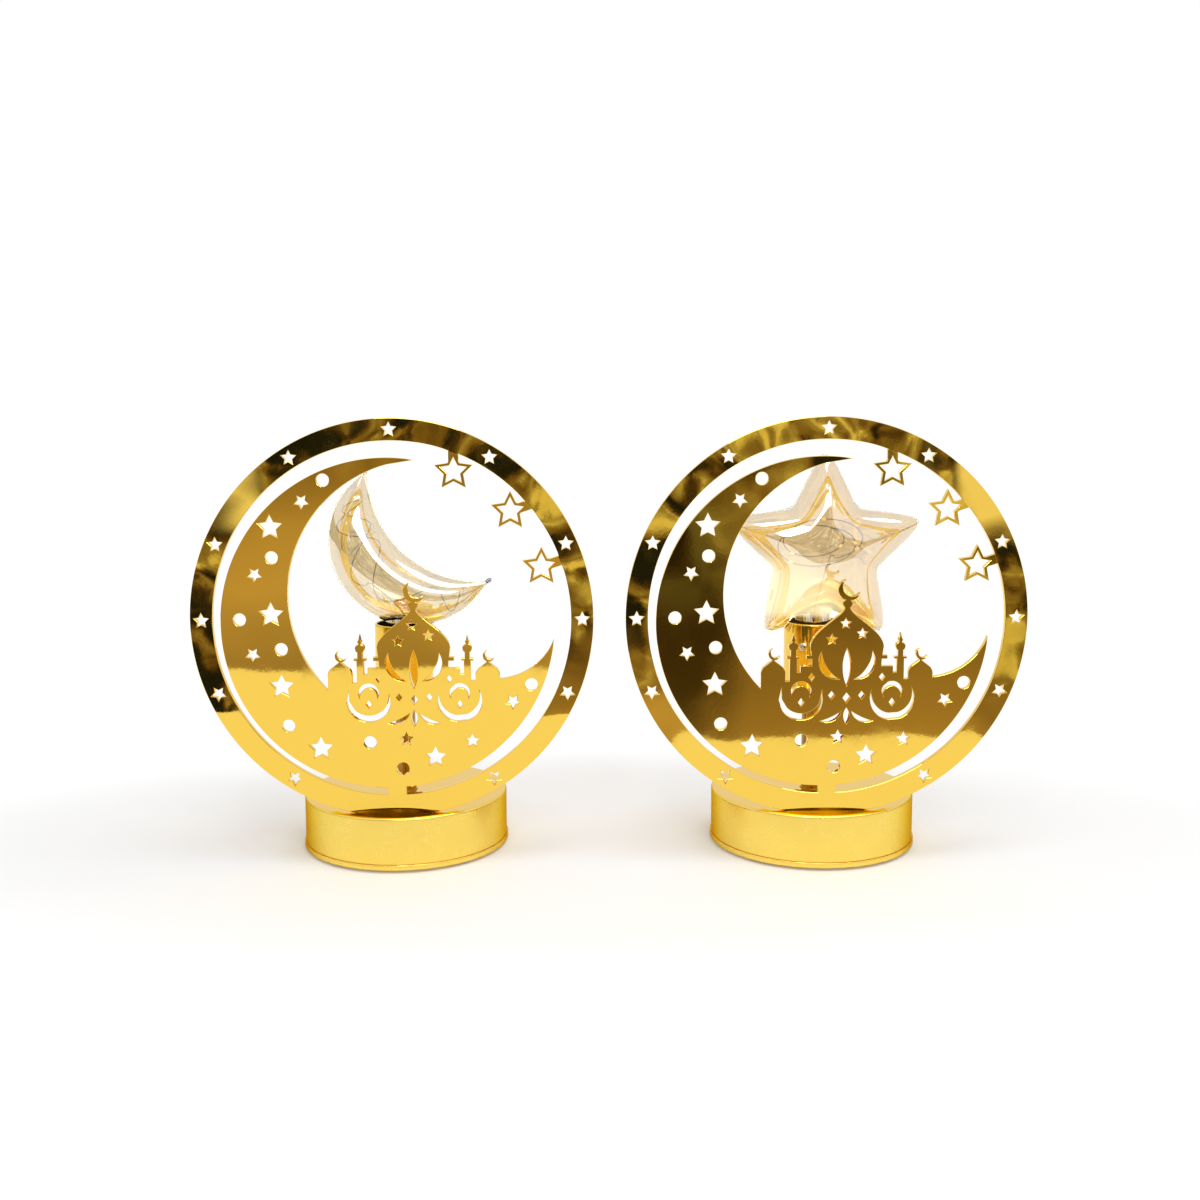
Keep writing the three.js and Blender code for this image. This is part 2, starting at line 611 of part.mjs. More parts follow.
function baseShell() {
  const outer = turned([[0, COVER_TOP], [BASE_RADIUS, COVER_TOP], [BASE_RADIUS, BASE_TOP - SHELL_EDGE],
    [BASE_RADIUS - SHELL_EDGE, BASE_TOP], [0, BASE_TOP]], BASE_SIDES);
  const shell = outer.subtract(post(SHELL_INNER, COVER_TOP - CUT, CEILING, BASE_SIDES));
  const bosses = atScrews(BOSS_RADIUS, COVER_TOP + FIT, CEILING + CUT / 2);
  const sinkHalf = Math.sqrt(PLATE_RADIUS ** 2 - (PLATE_RADIUS - PLATE_SINK) ** 2) + SEAT_GAP;
  const slotY = [PLATE_FRONT_Y - FIT, PLATE_BACK_Y + FIT];
  const plateSlot = block(-sinkHalf, sinkHalf, ...slotY, CEILING - CUT, BASE_TOP + CUT);
  const stemHole = post(STEM_RADIUS + FIT, CEILING - CUT, BASE_TOP + CUT, STEM_SIDES);
  const pilots = atScrews(SCREW_RADIUS + FIT, COVER_TOP - CUT, COVER_TOP + SCREW_LENGTH);
  return cut(join([shell, ...bosses]), [plateSlot, stemHole, ...pilots]);
}

function locatingRing() {
  const outer = SHELL_INNER - FIT;
  const inner = outer - LOCATING_RING_WALL;
  const top = COVER_TOP + LOCATING_RING_HEIGHT;
  const ring = post(outer, COVER_TOP - CUT / 2, top, BASE_SIDES);
  return ring.subtract(post(inner, COVER_TOP - CUT, top + CUT, BASE_SIDES));
}

function batteryBay() {
  const low = COVER_TOP - CUT / 2;
  return block(-BAY_SIDE, BAY_SIDE, BAY_FRONT - BAY_WALL, BAY_BACK + BAY_WALL, low, BAY_CEILING + BAY_ROOF);
}

function boardPosts() {
  const [halfX, halfY] = [BOARD_POST[0] / 2, BOARD_POST[1] / 2];
  return [-BOARD_POST_Y, BOARD_POST_Y].map((y) => block(BOARD_X - halfX, BOARD_X + halfX,
    y - halfY, y + halfY, COVER_TOP - CUT / 2, COVER_TOP + BOARD_POST_HEIGHT));
}

function doorWays() {
  const grooveX = BAY_HALF_WIDTH + DOOR_TONGUE + FIT;
  const grooveHalf = (DOOR_TONGUE_HEIGHT + FIT) / 2;
  return [
    block(-BAY_HALF_WIDTH, BAY_HALF_WIDTH, BAY_FRONT, COVER_RIM + CUT, 0, COVER_TOP),
    block(-grooveX, grooveX, BAY_FRONT, COVER_RIM + CUT, TONGUE_Z - grooveHalf, TONGUE_Z + grooveHalf),
  ];
}

function bottomCover() {
  const disc = post(COVER_RIM, FOOT_HEIGHT, COVER_TOP, BASE_SIDES);
  const bayHollow = block(-BAY_HALF_WIDTH, BAY_HALF_WIDTH, BAY_FRONT, BAY_BACK, 0, BAY_CEILING);
  const trough = block(-BAY_TROUGH_HALF, BAY_TROUGH_HALF, BAY_FRONT - BAY_WALL - CUT, STEM_RADIUS + CUT,
    BAY_CEILING - CUT, BAY_CEILING + BAY_ROOF + CUT);
  const bossRoom = atScrews(BOSS_RADIUS + FIT, COVER_TOP, COVER_TOP + LOCATING_RING_HEIGHT + CUT);
  const screwHoles = atScrews(SCREW_RADIUS + FIT, 0, COVER_TOP + CUT);
  const headSeats = atScrews(SCREW_HEAD_RADIUS + FIT, 0, FOOT_HEIGHT + SCREW_HEAD_HEIGHT + FIT);
  const wayX = KNOB_SIZE[0] / 2 + SEAT_GAP;
  const wayY = (SWITCH_TRAVEL + KNOB_SIZE[1]) / 2 + SEAT_GAP;
  const knobWay = block(SWITCH_X - wayX, SWITCH_X + wayX, -wayY, wayY, 0, COVER_TOP + CUT);
  return cut(join([disc, locatingRing(), batteryBay(), ...boardPosts()]),
    [bayHollow, ...doorWays(), trough, knobWay, ...bossRoom, ...screwHoles, ...headSeats]);
}

function batteryDoor() {
  const halfX = BAY_HALF_WIDTH - FIT;
  const front = BAY_FRONT + FIT;
  const tongueHalf = DOOR_TONGUE_HEIGHT / 2;
  const panel = block(-halfX, halfX, front, COVER_RIM, FOOT_HEIGHT, DOOR_TOP);
  const tongues = block(-halfX - DOOR_TONGUE, halfX + DOOR_TONGUE, front, COVER_RIM,
    TONGUE_Z - tongueHalf, TONGUE_Z + tongueHalf);
  const door = join([panel, tongues]).intersect(post(COVER_RIM, 0, COVER_TOP, BASE_SIDES));
  const grips = [];
  for (let i = 0; i < DOOR_GRIPS; i += 1) {
    const y = BAY_BACK - GRIP_INSET - i * GRIP_PITCH;
    grips.push(block(-GRIP_HALF_WIDTH, GRIP_HALF_WIDTH, y - GRIP_WIDTH / 2, y + GRIP_WIDTH / 2,
      0, FOOT_HEIGHT + DOOR_GRIP_DEPTH));
  }
  return cut(door, grips);
}

// One cell, its nib towards +Y where nibEnd is 1 and towards -Y where it is -1
function cell(x, nibEnd) {
  const half = CELL_LENGTH / 2;
  const centre = BAY_CENTRE_Y - (nibEnd * CELL_NIB_HEIGHT) / 2;
  const can = barrel(CELL_RADIUS, centre - half, centre + half, 14, x, CELL_Z);
  const nib = span(centre + nibEnd * (half - CUT / 2), centre + nibEnd * (half + CELL_NIB_HEIGHT));
  return can.add(barrel(CELL_NIB_RADIUS, ...nib, 10, x, CELL_Z));
}

// A sheet against the bay's end wall with a raised tongue for each cell it touches
function contact(x, halfWidth, end) {
  const wall = end > 0 ? BAY_BACK : BAY_FRONT;
  const face = span(wall, wall - end * CONTACT_SHEET);
  const tongueY = span(wall - (end * CONTACT_SHEET) / 2, wall - end * (CONTACT_SPACE - SEAT_GAP));
  const plate = block(x - halfWidth, x + halfWidth, ...face, DOOR_TOP + SEAT_GAP, BAY_CEILING - SEAT_GAP);
  const half = CONTACT_SPRING_HALF;
  const touches = halfWidth > CELL_X ? [-CELL_X, CELL_X] : [x];
  const tongues = touches.map((at) => block(at - half, at + half, ...tongueY, CELL_Z - half, CELL_Z + half));
  return join([plate, ...tongues]);
}

function plateBracket() {
  const tabBottom = BASE_TOP - PLATE_SINK - TAB_DEPTH;
  const halfX = TAB_OUTER_U + FIT + HOLDER_WALL;
  const [slotFront, slotBack] = [PLATE_FRONT_Y - FIT, PLATE_BACK_Y + FIT];
  const body = block(-halfX, halfX, slotFront - HOLDER_WALL, slotBack + HOLDER_WALL,
    tabBottom - HOLDER_WALL, CEILING);
  const slots = [-1, 1].map((side) => {
    const edges = span(side * (TAB_INNER_U - FIT), side * (TAB_OUTER_U + FIT));
    return block(...edges, slotFront, slotBack, tabBottom - SEAT_GAP, CEILING + CUT);
  });
  const leadWay = block(-HOLDER_WAY_HALF, HOLDER_WAY_HALF, slotFront - HOLDER_WALL - CUT,
    slotBack + HOLDER_WALL + CUT, BAY_CEILING - LEAD_RADIUS - SEAT_GAP, CEILING + CUT);
  return cut(body, [...slots, leadWay]);
}

function coverScrew([x, y]) {
  const seat = FOOT_HEIGHT + SCREW_HEAD_HEIGHT;
  const [slotX, slotY] = [SCREW_SLOT[0] / 2, SCREW_SLOT[1] / 2];
  const tip = COVER_TOP + SCREW_LENGTH - SEAT_GAP;
  const head = post(SCREW_HEAD_RADIUS, FOOT_HEIGHT, seat, SMALL_SIDES, x, y);
  const shank = post(SCREW_RADIUS, seat - SCREW_HEAD_HEIGHT / 4, tip, SMALL_SIDES, x, y);
  const slotTop = FOOT_HEIGHT + SCREW_HEAD_HEIGHT / 2;
  return join([head, shank]).subtract(block(x - slotX, x + slotX, y - slotY, y + slotY, 0, slotTop));
}

function foot([x, y]) {
  const profile = [[0, 0], [FOOT_RADIUS - FOOT_CHAMFER, 0], [FOOT_RADIUS, FOOT_CHAMFER],
    [FOOT_RADIUS, FOOT_HEIGHT], [0, FOOT_HEIGHT]];
  return turned(profile, 12).translate([x, y, 0]);
}

function switchBody() {
  const [sx, sy, sz] = SWITCH_SIZE;
  const body = block(SWITCH_X - sx / 2, SWITCH_X + sx / 2, -sy / 2, sy / 2, COVER_TOP, COVER_TOP + sz);
  const roomX = KNOB_FLANGE[0] / 2 + SEAT_GAP;
  const roomY = (KNOB_FLANGE[1] + SWITCH_TRAVEL) / 2 + SEAT_GAP;
  const roomTop = COVER_TOP + SEAT_GAP + KNOB_FLANGE[2] + SEAT_GAP;
  const room = block(SWITCH_X - roomX, SWITCH_X + roomX, -roomY, roomY, COVER_TOP - CUT, roomTop);
  const [px, py, pz] = SWITCH_PIN;
  const pins = [-1, 0, 1].map((i) => {
    const y = i * SWITCH_PIN_PITCH;
    return block(SWITCH_X - px / 2, SWITCH_X + px / 2, y - py / 2, y + py / 2,
      COVER_TOP + sz - CUT / 2, COVER_TOP + sz + pz);
  });
  return join([body.subtract(room), ...pins]);
}

function switchKnob() {
  const y = -SWITCH_TRAVEL / 2;
  const flangeZ = COVER_TOP + SEAT_GAP;
  const [stemX, stemY] = [KNOB_SIZE[0] / 2, KNOB_SIZE[1] / 2];
  const [flangeX, flangeY] = [KNOB_FLANGE[0] / 2, KNOB_FLANGE[1] / 2];
  const stem = block(SWITCH_X - stemX, SWITCH_X + stemX, y - stemY, y + stemY,
    TABLE_CLEAR, flangeZ + KNOB_FLANGE[2] / 2);
  const flange = block(SWITCH_X - flangeX, SWITCH_X + flangeX, y - flangeY, y + flangeY,
    flangeZ, flangeZ + KNOB_FLANGE[2]);
  return stem.add(flange);
}

function circuitBoard() {
  const [bx, by, bz] = BOARD_SIZE;
  const [cx, cy, cz] = CHIP.size;
  const low = COVER_TOP + BOARD_POST_HEIGHT;
  const top = low + bz;
  const board = block(BOARD_X - bx / 2, BOARD_X + bx / 2, -by / 2, by / 2, low, top);
  const chip = block(BOARD_X - cx / 2, BOARD_X + cx / 2, CHIP.y - cy / 2, CHIP.y + cy / 2,
    top - bz / 2, top + cz);
  const resistor = barrel(RESISTOR.radius, ...RESISTOR.y, SMALL_SIDES, BOARD_X, top + RESISTOR.radius / 2);
  return join([board, chip, resistor]);
}

// Lamp
function stemTube() {
  const bore = post(STEM_BORE, STEM_BOTTOM - CUT, STEM_TOP + CUT, BORE_SIDES);
  return post(STEM_RADIUS, STEM_BOTTOM, STEM_TOP, STEM_SIDES).subtract(bore);
}

function stemNut() {
  const hole = post(STEM_RADIUS + FIT, STEM_BOTTOM - CUT, CEILING + CUT, BORE_SIDES);
  return post(NUT_RADIUS, STEM_BOTTOM, CEILING, 6).subtract(hole);
}

function lampCup() {
  const outer = turned([[0, CUP_BOTTOM], [CUP_RADIUS - CUP_CHAMFER, CUP_BOTTOM],
    [CUP_RADIUS, CUP_BOTTOM + CUP_CHAMFER], [CUP_RADIUS, CUP_TOP], [0, CUP_TOP]], CUP_SIDES);
  const inner = post(CUP_INNER, PLUG_BOTTOM, CUP_TOP + CUT, CUP_SIDES);
  const stemHole = post(STEM_RADIUS + FIT, CUP_BOTTOM - CUT, PLUG_BOTTOM + CUT, STEM_SIDES);
  const screwHole = alongCupScrew(CUP_SCREW_RADIUS + FIT, CUP_INNER - CUT, CUP_RADIUS + CUT, 12);
  return cut(outer, [inner, stemHole, screwHole]);
}

function alongCupScrew(radius, from, to, sides) {
  return post(radius, from, to, sides).rotate([0, 90, CUP_SCREW_ANGLE]).translate([0, 0, CUP_SCREW_Z]);
}

function cupScrew() {
  const { radius, lift, top } = CUP_SCREW_HEAD;
  const shank = alongCupScrew(CUP_SCREW_RADIUS, NECK_RADIUS + SEAT_GAP, CUP_RADIUS + (lift + top) / 2, 12);
  return shank.add(alongCupScrew(radius, CUP_RADIUS + lift, CUP_RADIUS + top, 14));
}

function bulbPlug() {
  const body = CUP_INNER - FIT;
  const spigot = NECK_RADIUS - GLASS - FIT;
  const spigotTop = PLUG_SHOULDER + PLUG_SPIGOT;
  const profile = [[PLUG_BORE, PLUG_BOTTOM], [body, PLUG_BOTTOM], [body, PLUG_SHOULDER],
    [spigot, PLUG_SHOULDER], [spigot, spigotTop], [PLUG_BORE, spigotTop], [PLUG_BORE, PLUG_BOTTOM]];
  const socket = post(STEM_RADIUS + FIT, PLUG_BOTTOM - CUT, STEM_TOP + SEAT_GAP, BORE_SIDES);
  return turned(profile, BORE_SIDES).subtract(socket);
}

// A closed skin through rings of points, with one end point before the first and one after the last
function skin(rings, first, last) {
  const sides = rings[0].length;
  const points = [first, ...rings.flat(), last].flatMap((p) => p);
  const corners = [];
  const at = (ring, side) => 1 + ring * sides + (side % sides);
  for (let s = 0; s < sides; s += 1) {
    corners.push(0, at(0, s + 1), at(0, s));
    corners.push(rings.length * sides + 1, at(rings.length - 1, s), at(rings.length - 1, s + 1));
    for (let r = 0; r + 1 < rings.length; r += 1) {
      corners.push(at(r, s), at(r, s + 1), at(r + 1, s + 1));
      corners.push(at(r, s), at(r + 1, s + 1), at(r + 1, s));
    }
  }
  const geometry = new THREE.BufferGeometry();
  geometry.setAttribute('position', new THREE.BufferAttribute(new Float32Array(points), 3));
  geometry.setIndex(corners);
  return toSolid(geometry);
}

// The middle line of the moon, from its upper tip to its right tip, with the half width there
function moonStation(share) {
  const upper = circlesMeet(MOON_OUTER, MOON_INNER, 1);
  const right = circlesMeet(MOON_OUTER, MOON_INNER, -1);
  const along = (circle) => {
    const from = angleFrom(circle, upper);
    let to = angleFrom(circle, right);
    while (to < from) to += 360;
    return polar(...circle.centre, circle.radius, from + (to - from) * share);
  };
  const outer = along(MOON_OUTER);
  const inner = along(MOON_INNER);
  return { middle: outer.clone().add(inner).multiplyScalar(0.5), across: outer.clone().sub(inner) };
}

function moonSkin(inset) {
  const sides = 12;
  const stations = 16;
  const rings = [];
  for (let i = 0; i <= stations; i += 1) {
    const share = MOON_ENDS + ((1 - 2 * MOON_ENDS) * i) / stations;
    const { middle, across } = moonStation(share);
    const half = Math.max(across.length() / 2, MOON_TIP_RADIUS) - inset;
    across.normalize();
    const ring = [];
    for (let s = 0; s < sides; s += 1) {
      const angle = (2 * Math.PI * s) / sides;
      const wide = half * Math.cos(angle);
      const deep = half * MOON_DEPTH_RATIO * Math.sin(angle);
      ring.push([middle.x + across.x * wide, deep, middle.y + across.y * wide]);
    }
    rings.push(ring);
  }
  const end = (share) => {
    const { middle } = moonStation(share);
    return [middle.x, 0, middle.y];
  };
  const trim = inset > 0 ? 0.75 * MOON_ENDS : 0.25 * MOON_ENDS;
  return skin(rings, end(trim), end(1 - trim));
}

// A five-armed star with straight sides, whose points and notches are rounded off
function starRim(degrees) {
  const fromPoint = Math.abs(((degrees + 18 + 720) % 72) - 36);
  const offPoint = Math.hypot(fromPoint, STAR_POINT_ROUNDING);
  const offNotch = Math.hypot(36 - offPoint, STAR_NOTCH_ROUNDING);
  const side = STAR_POINT * Math.sin(turn(36 - offNotch)) + STAR_NOTCH * Math.sin(turn(offNotch));
  return (STAR_POINT * STAR_NOTCH * Math.sin(turn(36))) / side;
}

function starSkin(inset) {
  const sides = 40;
  const layer = (share, height) => {
    const ring = [];
    for (let s = 0; s < sides; s += 1) {
      const degrees = (360 * s) / sides + 90;
      const point = polar(...STAR_CENTRE, (starRim(degrees) - inset) * share, degrees);
      ring.push([point.x, height, point.y]);
    }
    return ring;
  };
  const depth = STAR_HALF_DEPTH - inset;
  const height = (share) => depth * Math.sqrt(1 - share ** 2);
  const rings = [
    ...STAR_SLOPES.map((share) => layer(share, -height(share))),
    layer(1, 0),
    ...STAR_SLOPES.slice().reverse().map((share) => layer(share, height(share))),
  ];
  return skin(rings, [STAR_CENTRE[0], -depth, STAR_CENTRE[1]], [STAR_CENTRE[0], depth, STAR_CENTRE[1]]);
}

// The glass stays clear of the cup's rim, and its open neck stands on the plug's shoulder
function bulb(skinAt, neckTop) {
  const neckBottom = PLUG_SHOULDER + SEAT_GAP;
  const body = (inset) => {
    const clear = SEAT_GAP + inset;
    return skinAt(inset).subtract(post(CUP_RADIUS + clear, 0, CUP_TOP + clear, CUP_SIDES));
  };
  const outer = body(0).add(post(NECK_RADIUS, neckBottom, neckTop, 16));
  const inner = body(GLASS).add(post(NECK_RADIUS - GLASS, neckBottom - CUT, neckTop, 16));
  return outer.subtract(inner);
}

// A fine wire with lamp beads that wanders inside the bulb
function lightString(route, beadShares) {
  const curve = new THREE.CatmullRomCurve3(route.map((p) => new THREE.Vector3(...p)));
  const wire = tube(route, WIRE_RADIUS, 3, route.length * 2);
  const beads = beadShares.map((share) => {
    const ball = new THREE.SphereGeometry(1, 5, 3);
    ball.scale(...BEAD_SIZE);
    const at = curve.getPointAt(share);
    ball.translate(at.x, at.y, at.z);
    return toSolid(ball);
  });
  return join([wire, ...beads]);
}

// Each lamp wire meets its leads in the stem and rises through the plug's bore
function routeStart() {
  const spigotTop = PLUG_SHOULDER + PLUG_SPIGOT;
  const joint = LEAD_TOP + SEAT_GAP;
  return [[0, 0, joint], [0, 0, spigotTop - 2], [0, 0, spigotTop + 1], [0.3, 0.5, CUP_TOP + 2]];
}

function moonRoute() {
  const { steps, turns, middle: middleShare, reach, swing, depth } = MOON_WIRE;
  const route = routeStart();
  for (let i = 0; i <= steps; i += 1) {
    const { middle, across } = moonStation(middleShare + reach * Math.sin(Math.PI * (i / steps - 0.5)));
    const radius = swing * across.length();
    const angle = (2 * Math.PI * turns * i) / steps;
    const wide = across.clone().normalize().multiplyScalar(radius * Math.cos(angle));
    route.push([middle.x + wide.x, radius * depth * Math.sin(angle), middle.y + wide.y]);
  }
  return route;
}

function starRoute() {
  const { steps, from, sweep, reach, ripple, ripples, depth, waves } = STAR_WIRE;
  const route = routeStart();
  for (let i = 0; i <= steps; i += 1) {
    const share = i / steps;
    const degrees = from + sweep * share;
    const radius = (reach + ripple * Math.sin(turn(360 * ripples * share))) * starRim(degrees);
    const point = polar(...STAR_CENTRE, radius, degrees);
    route.push([point.x, depth * Math.cos(turn(360 * waves * share)), point.y]);
  }
  return route;
}

// Down the stem, forward over the bay, round its front left corner and back to the board
function leadRoute() {
  const level = BAY_CEILING + FIT;
  const boardZ = COVER_TOP + BOARD_POST_HEIGHT + BOARD_SIZE[2] / 2;
  const boardEnd = -BOARD_SIZE[1] / 2 - SEAT_GAP;
  const cornerX = -BAY_SIDE - 2;
  const cornerY = BAY_FRONT - BAY_WALL - 2;
  return [
    [0, 0, LEAD_TOP], [0, 0, CEILING + 8], [0, 0, CEILING + 1.5],
    [0, -0.9, level + 0.25], [0, -5, level], [0, -14, level], [0, -22, level],
    [0, PLATE_FRONT_Y - 1, level], [-0.3, PLATE_FRONT_Y - 3.2, level - 1.6],
    [-4, PLATE_FRONT_Y - 1.4, level - 6], [cornerX, cornerY, boardZ + 1.3],
    [BOARD_X + 1, cornerY + 8, boardZ + 0.8], [BOARD_X, boardEnd - 2.7, boardZ], [BOARD_X, boardEnd, boardZ],
  ];
}

// Assembly
function piece(name, finish, solid) {
  const mesh = new THREE.Mesh(toGeometry(solid), new THREE.MeshStandardMaterial(FINISH[finish]));
  mesh.name = name;
  return mesh;
}

function stand(prefix, x, glass, string) {
  const group = new THREE.Group();
  const add = (name, finish, solid) => group.add(piece(`${prefix}_${name}`, finish, solid));
  add('face_plate', 'plate', facePlate());
  add('base_shell', 'plating', baseShell());
  add('bottom_cover', 'plating', bottomCover());
  add('battery_door', 'plating', batteryDoor());
  add('cell_left', 'cell', cell(-CELL_X, 1));
  add('cell_right', 'cell', cell(CELL_X, -1));
  add('contact_bridge', 'steel', contact(0, BAY_HALF_WIDTH - SEAT_GAP, 1));
  add('contact_plus', 'steel', contact(-CELL_X, CONTACT_HALF_WIDTH, -1));
  add('contact_minus', 'steel', contact(CELL_X, CONTACT_HALF_WIDTH, -1));
  add('plate_bracket', 'white', plateBracket());
  add('switch_body', 'black', switchBody());
  add('switch_knob', 'black', switchKnob());
  add('circuit_board', 'board', circuitBoard());
  SCREW_AT.forEach((at, i) => add(`cover_screw_${i + 1}`, 'steel', coverScrew(at)));
  FOOT_AT.forEach((at, i) => add(`foot_${i + 1}`, 'rubber', foot(at)));
  add('stem_tube', 'plating', stemTube());
  add('stem_nut', 'steel', stemNut());
  add('lamp_cup', 'plating', lampCup());
  add('cup_screw', 'steel', cupScrew());
  add('bulb_plug', 'black', bulbPlug());
  add('bulb', 'glass', glass);
  add('light_string', 'copper', string);
  add('lead_wires', 'lead', tube(leadRoute(), LEAD_RADIUS, 4, 32));
  group.position.x = x;
  return group;
}

const pair = new THREE.Group();
const moonParts = [bulb(moonSkin, MOON_NECK_TOP), lightString(moonRoute(), MOON_BEADS)];
const starParts = [bulb(starSkin, STAR_NECK_TOP), lightString(starRoute(), STAR_BEADS)];
pair.add(stand('moon', -STAND_SPACING / 2, ...moonParts));
pair.add(stand('star', STAND_SPACING / 2, ...starParts));

export default pair;
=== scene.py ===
"""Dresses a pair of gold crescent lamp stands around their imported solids."""
from functools import partial
from math import asin, atan2, copysign, cos, degrees, dist, hypot, pi, radians, sin, sqrt, tan, tau

import bmesh
import bpy
from bpy.props import FloatProperty, FloatVectorProperty, IntProperty, PointerProperty
from mathutils import Matrix, Vector


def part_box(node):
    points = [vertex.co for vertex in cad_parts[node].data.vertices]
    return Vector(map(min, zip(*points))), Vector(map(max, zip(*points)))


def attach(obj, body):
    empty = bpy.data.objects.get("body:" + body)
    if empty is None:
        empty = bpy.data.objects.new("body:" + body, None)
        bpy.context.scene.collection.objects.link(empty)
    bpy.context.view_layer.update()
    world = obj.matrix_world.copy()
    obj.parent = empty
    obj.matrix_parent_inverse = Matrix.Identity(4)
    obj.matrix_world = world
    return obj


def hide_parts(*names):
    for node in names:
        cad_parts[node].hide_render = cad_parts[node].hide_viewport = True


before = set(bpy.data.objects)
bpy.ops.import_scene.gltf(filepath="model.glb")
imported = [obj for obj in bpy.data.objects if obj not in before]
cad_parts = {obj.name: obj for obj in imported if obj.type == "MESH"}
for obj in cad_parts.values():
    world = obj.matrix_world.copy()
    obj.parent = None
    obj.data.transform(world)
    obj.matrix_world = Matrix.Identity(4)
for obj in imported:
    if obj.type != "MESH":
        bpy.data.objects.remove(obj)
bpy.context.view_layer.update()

bl_info = {
    "name": "Crescent Lamp Stands",
    "version": (1, 0, 0),
    "blender": (4, 5, 0),
    "location": "3D View > Sidebar > Lamp Stands",
    "description": "Gives a pair of gold crescent stands their plates, drums, glass lamps and studio",
    "category": "Object",
}

MM = 0.001
PREFIXES = ("moon", "star")

# Sizes that the solids share with their dressing, in millimetres
STAND_X = {p: sum(c.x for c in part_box(f"{p}_stem_tube")) / 2 / MM for p in PREFIXES}
AXIS = {p: (x, 0) for p, x in STAND_X.items()}
PLATE_CENTRE_Z = 78.7
RING_INNER = 55.6
CUP_WALL = 0.9
NECK_RADIUS = 6.0
CLEARANCE = 0.3
LIFT = {"moon": 0.3, "star": 2.6}
MOON_OUTER = ((3.7, 100.5), 28.0)
MOON_INNER = ((24.0, 122.3), 34.8)
MOON_TIP_RADIUS = 1.6
MOON_NECK_TOP = 80.0
STAR_CENTRE = (3.6, 96.4)
STAR_POINT = 37.5
STAR_NOTCH = 17.6
STAR_HALF_DEPTH = 12.0
STAR_DOME = 24.0
STAR_NECK_TOP = 84.0
LEAD_TOP = 54.4
SPIGOT_TOP = 62.9

# The moon's depth as a share of its breadth, and the shares of its length cut off and rounded at a tip
MOON_DEPTH_RATIO = 0.86
MOON_END = 0.01
MOON_CAP = 0.13

# Half the angle between two points of the star, the roundings along its rim, and the cup screw's place
STAR_ARM = radians(36)
STAR_POINT_ROUNDING = radians(4.5)
STAR_NOTCH_ROUNDING = radians(5)
SCREW_TURN = radians(-117)

# Sizes of the dressing alone, in millimetres
DRUM_WALL = 1.6
DRUM_ROOF = 1.8
DRUM_FOOT = 0.15
STEM_PLAY = 0.1
STEM_BORE = 2.2
SLOT_HALF = 12.6
SLOT_PLAY = 0.12
SLOT_DEPTH = 2.5
LIP_WALL = 1.1
LIP_ROUNDING = 0.25
DOOR_GAP = 0.25
CUP_FLOOR = 1.4
CUP_HOLE = 3.4

# Camera, from the fit to the photograph, in pixels, millimetres and degrees
FRAME_PIXELS = 1200
FOCAL_PIXELS = 1377.8
SHIFT_PIXELS = -63.4
CAMERA_PLACE = (-5.525, -449.447, 147.933)
CAMERA_TURN = (5.87, 0.36, 0.20)

# Turning angle past which an outline's point is a true corner, and millimetres within which points are one
CORNER = radians(50)
WELD = 0.002


# Colours and nodes
SMOOTH = {"interpolation_type": "SMOOTHSTEP"}
COLOURS = {"data_type": "RGBA"}


def linear(hex_value):
    """Linear red, green and blue of an sRGB hex value."""
    channels = [(hex_value >> shift & 255) / 255 for shift in (16, 8, 0)]
    return tuple(c / 12.92 if c <= 0.04045 else ((c + 0.055) / 1.055) ** 2.4 for c in channels)


def add_node(tree, kind, inputs=(), **settings):
    """Adds a shader node, sets its properties, and fills or links its inputs.

    The inputs go by name, or by order among those in use. A node given for one is linked by its
    first output in use, and a colour gets full alpha.
    """
    node = tree.nodes.new(f"ShaderNode{kind}")
    for name, value in settings.items():
        setattr(node, name, value)
    if isinstance(inputs, dict):
        filled = [(node.inputs[key], value) for key, value in inputs.items()]
    else:
        filled = zip([socket for socket in node.inputs if socket.enabled], inputs)
    for socket, value in filled:
        if isinstance(value, bpy.types.Node):
            value = next(output for output in value.outputs if output.enabled)
        if isinstance(value, bpy.types.NodeSocket):
            tree.links.new(value, socket)
        elif socket.type == "RGBA":
            socket.default_value = (*value, 1)
        else:
            socket.default_value = value
    return node


def new_material(name):
    """An empty node material, and add_node for its tree."""
    material = bpy.data.materials.new(name)
    material.use_nodes = True
    material.node_tree.nodes.clear()
    return material, partial(add_node, material.node_tree)


def finished(material, shader):
    """The material, with a shader linked to its output."""
    add_node(material.node_tree, "OutputMaterial", {"Surface": shader})
    return material


def length_setting(name, description, default, low, high):
    """A setting in millimetres."""
    return FloatProperty(
        name=name, description=description, default=default * MM, min=low * MM, max=high * MM,
        subtype="DISTANCE", unit="LENGTH")


def colour_setting(name, description, hex_value):
    """A setting for a colour, from its sRGB hex value."""
    return FloatVectorProperty(
        name=name, description=description, size=3, subtype="COLOR", min=0, max=1,
        default=linear(hex_value))


def power_setting(name, description, default):
    """A setting for a lamp's power in watts."""
    return FloatProperty(
        name=name, description=description, default=default, min=0, max=20, unit="POWER")


class LampStandSizes(bpy.types.PropertyGroup):
    """Sizes of the dressing that don't come from the solids."""

    plate_edge: length_setting("Plate edge", "Rounding of the cut plate's edges", 0.12, 0.02, 0.4)
    drum_fillet: length_setting("Drum fillet", "Rounding between the drum's side and its top", 0.7, 0.1, 1.4)
    cup_fillet: length_setting("Cup fillet", "Rounding at the lamp cup's foot", 1.3, 0.2, 3)
    glass_wall: length_setting("Glass wall", "Thickness of the lamp glass", 0.45, 0.3, 1.5)
    wire_radius: length_setting("Wire radius", "Radius of the wire inside the glass", 0.19, 0.05, 0.3)
    round_sides: IntProperty(
        name="Round sides", description="Sides of the large turned pieces",
        default=160, min=32, max=320)


